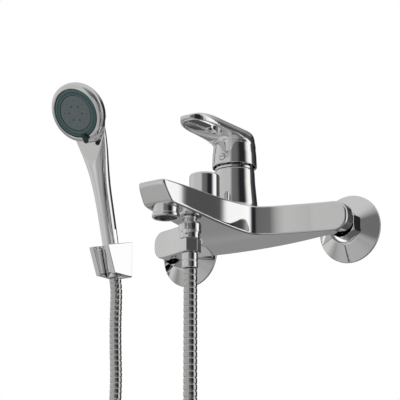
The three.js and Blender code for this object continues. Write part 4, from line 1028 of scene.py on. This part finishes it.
def hose():
    path, length = through(hose_route(), RIB_PITCH)
    ways = np.gradient(path, axis=0)
    ways /= np.linalg.norm(ways, axis=1)[:, None]
    side = np.array([1.0, 0, 0])
    sides = 24
    angle = np.arange(sides) * 2 * math.pi / sides
    rings = []
    for i in range(len(path) - 1):
        side = side - ways[i] * side.dot(ways[i])
        side /= np.linalg.norm(side)
        other = np.cross(ways[i], side)
        around = np.cos(angle)[:, None] * side + np.sin(angle)[:, None] * other
        for place, rise in RIB_SHAPE:
            centre = path[i] * (1 - place) + path[i + 1] * place
            rings.append(centre + around * (HOSE_R + rise))
    points = np.concatenate(rings)
    faces = []
    for i in range(len(rings) - 1):
        for j in range(sides):
            k = (j + 1) % sides
            faces.append([i * sides + j, i * sides + k, (i + 1) * sides + k, (i + 1) * sides + j])
    last = (len(rings) - 1) * sides
    faces += [list(range(sides))[::-1], [last + j for j in range(sides)]]
    made = piece("shower_hose", points, faces, None, "hose_steel", None,
                 ["hose_outlet_run", "hose_coil", "hose_shower_run"])
    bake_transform(made)
    return made, path, length


def hose_strap():
    """A flat strap round the bundle of turns, with rounded corners."""
    low, high = extent("hose_tie")
    g = Grid(low, high, 0.5)
    centre = (low + high) / 2
    x, y, z = g.x - centre[0], g.y - centre[1], g.z - centre[2]
    half = (high - low) / 2
    corner = 6.5
    over_y = np.maximum(np.abs(y) - half[1] + corner, 0)
    over_z = np.maximum(np.abs(z) - half[2] + corner, 0)
    rim = np.hypot(over_y, over_z) - corner
    band = both(np.abs(rim + 0.7) - 0.65, np.abs(x) - half[0] + 0.2, 0.3)
    return piece("hose_strap", *skin(g, band), "black_plastic", "mixer", ["hose_tie"])


# ---------------------------------------------------------------- card and floor


def make_card():
    """A small white card beside the bracket, seen only in its mirror-bright side."""
    mesh = bpy.data.meshes.new("card")
    corners = [(-153, 30, -3), (-103, 30, -3), (-103, 30, 50), (-153, 30, 50)]
    mesh.from_pydata([tuple(c * MM for c in corner) for corner in corners], [], [[0, 1, 2, 3]])
    glow = bpy.data.materials.new("card_light")
    glow.use_nodes = True
    n = Nodes(glow.node_tree)
    lamp = n.add("ShaderNodeEmission", Strength=1.1)
    out = n.add("ShaderNodeOutputMaterial")
    n.put(lamp.outputs[0], out.inputs["Surface"])
    mesh.materials.append(glow)
    card = bpy.data.objects.new("card", mesh)
    bpy.context.scene.collection.objects.link(card)
    card.visible_camera = False
    card.visible_diffuse = False
    card.visible_shadow = False


def make_floor():
    points, faces, normals = turned([(0, -600), (1400, -600), (1400, -604), (0, -604)], 1.0, 128)
    mesh = bpy.data.meshes.new("floor")
    mesh.from_pydata([tuple(p * MM) for p in points], [], faces)
    paint = material("floor_paint", (0.78, 0.78, 0.77), 0.0, 0.7, grain=20, speck=0.03)
    mesh.materials.append(paint)
    floor = bpy.data.objects.new("floor", mesh)
    bpy.context.scene.collection.objects.link(floor)
    floor.visible_glossy = False


hose_piece, hose_path, hose_length = hose()
strap = hose_strap()
dress_frame()
make_world()
make_lights()
make_floor()
make_card()
mixer_body()
for label, side in (("left", -1), ("right", 1)):
    rose(label, side)
    union_nut(label, side)
lever_handle()
index_plug()
trim_ring()
diverter_knob()
diverter_spring()
aerator()
outlet()
shower_bracket()
hose_end()
handset_shell()
spray_face()
selector_tab()
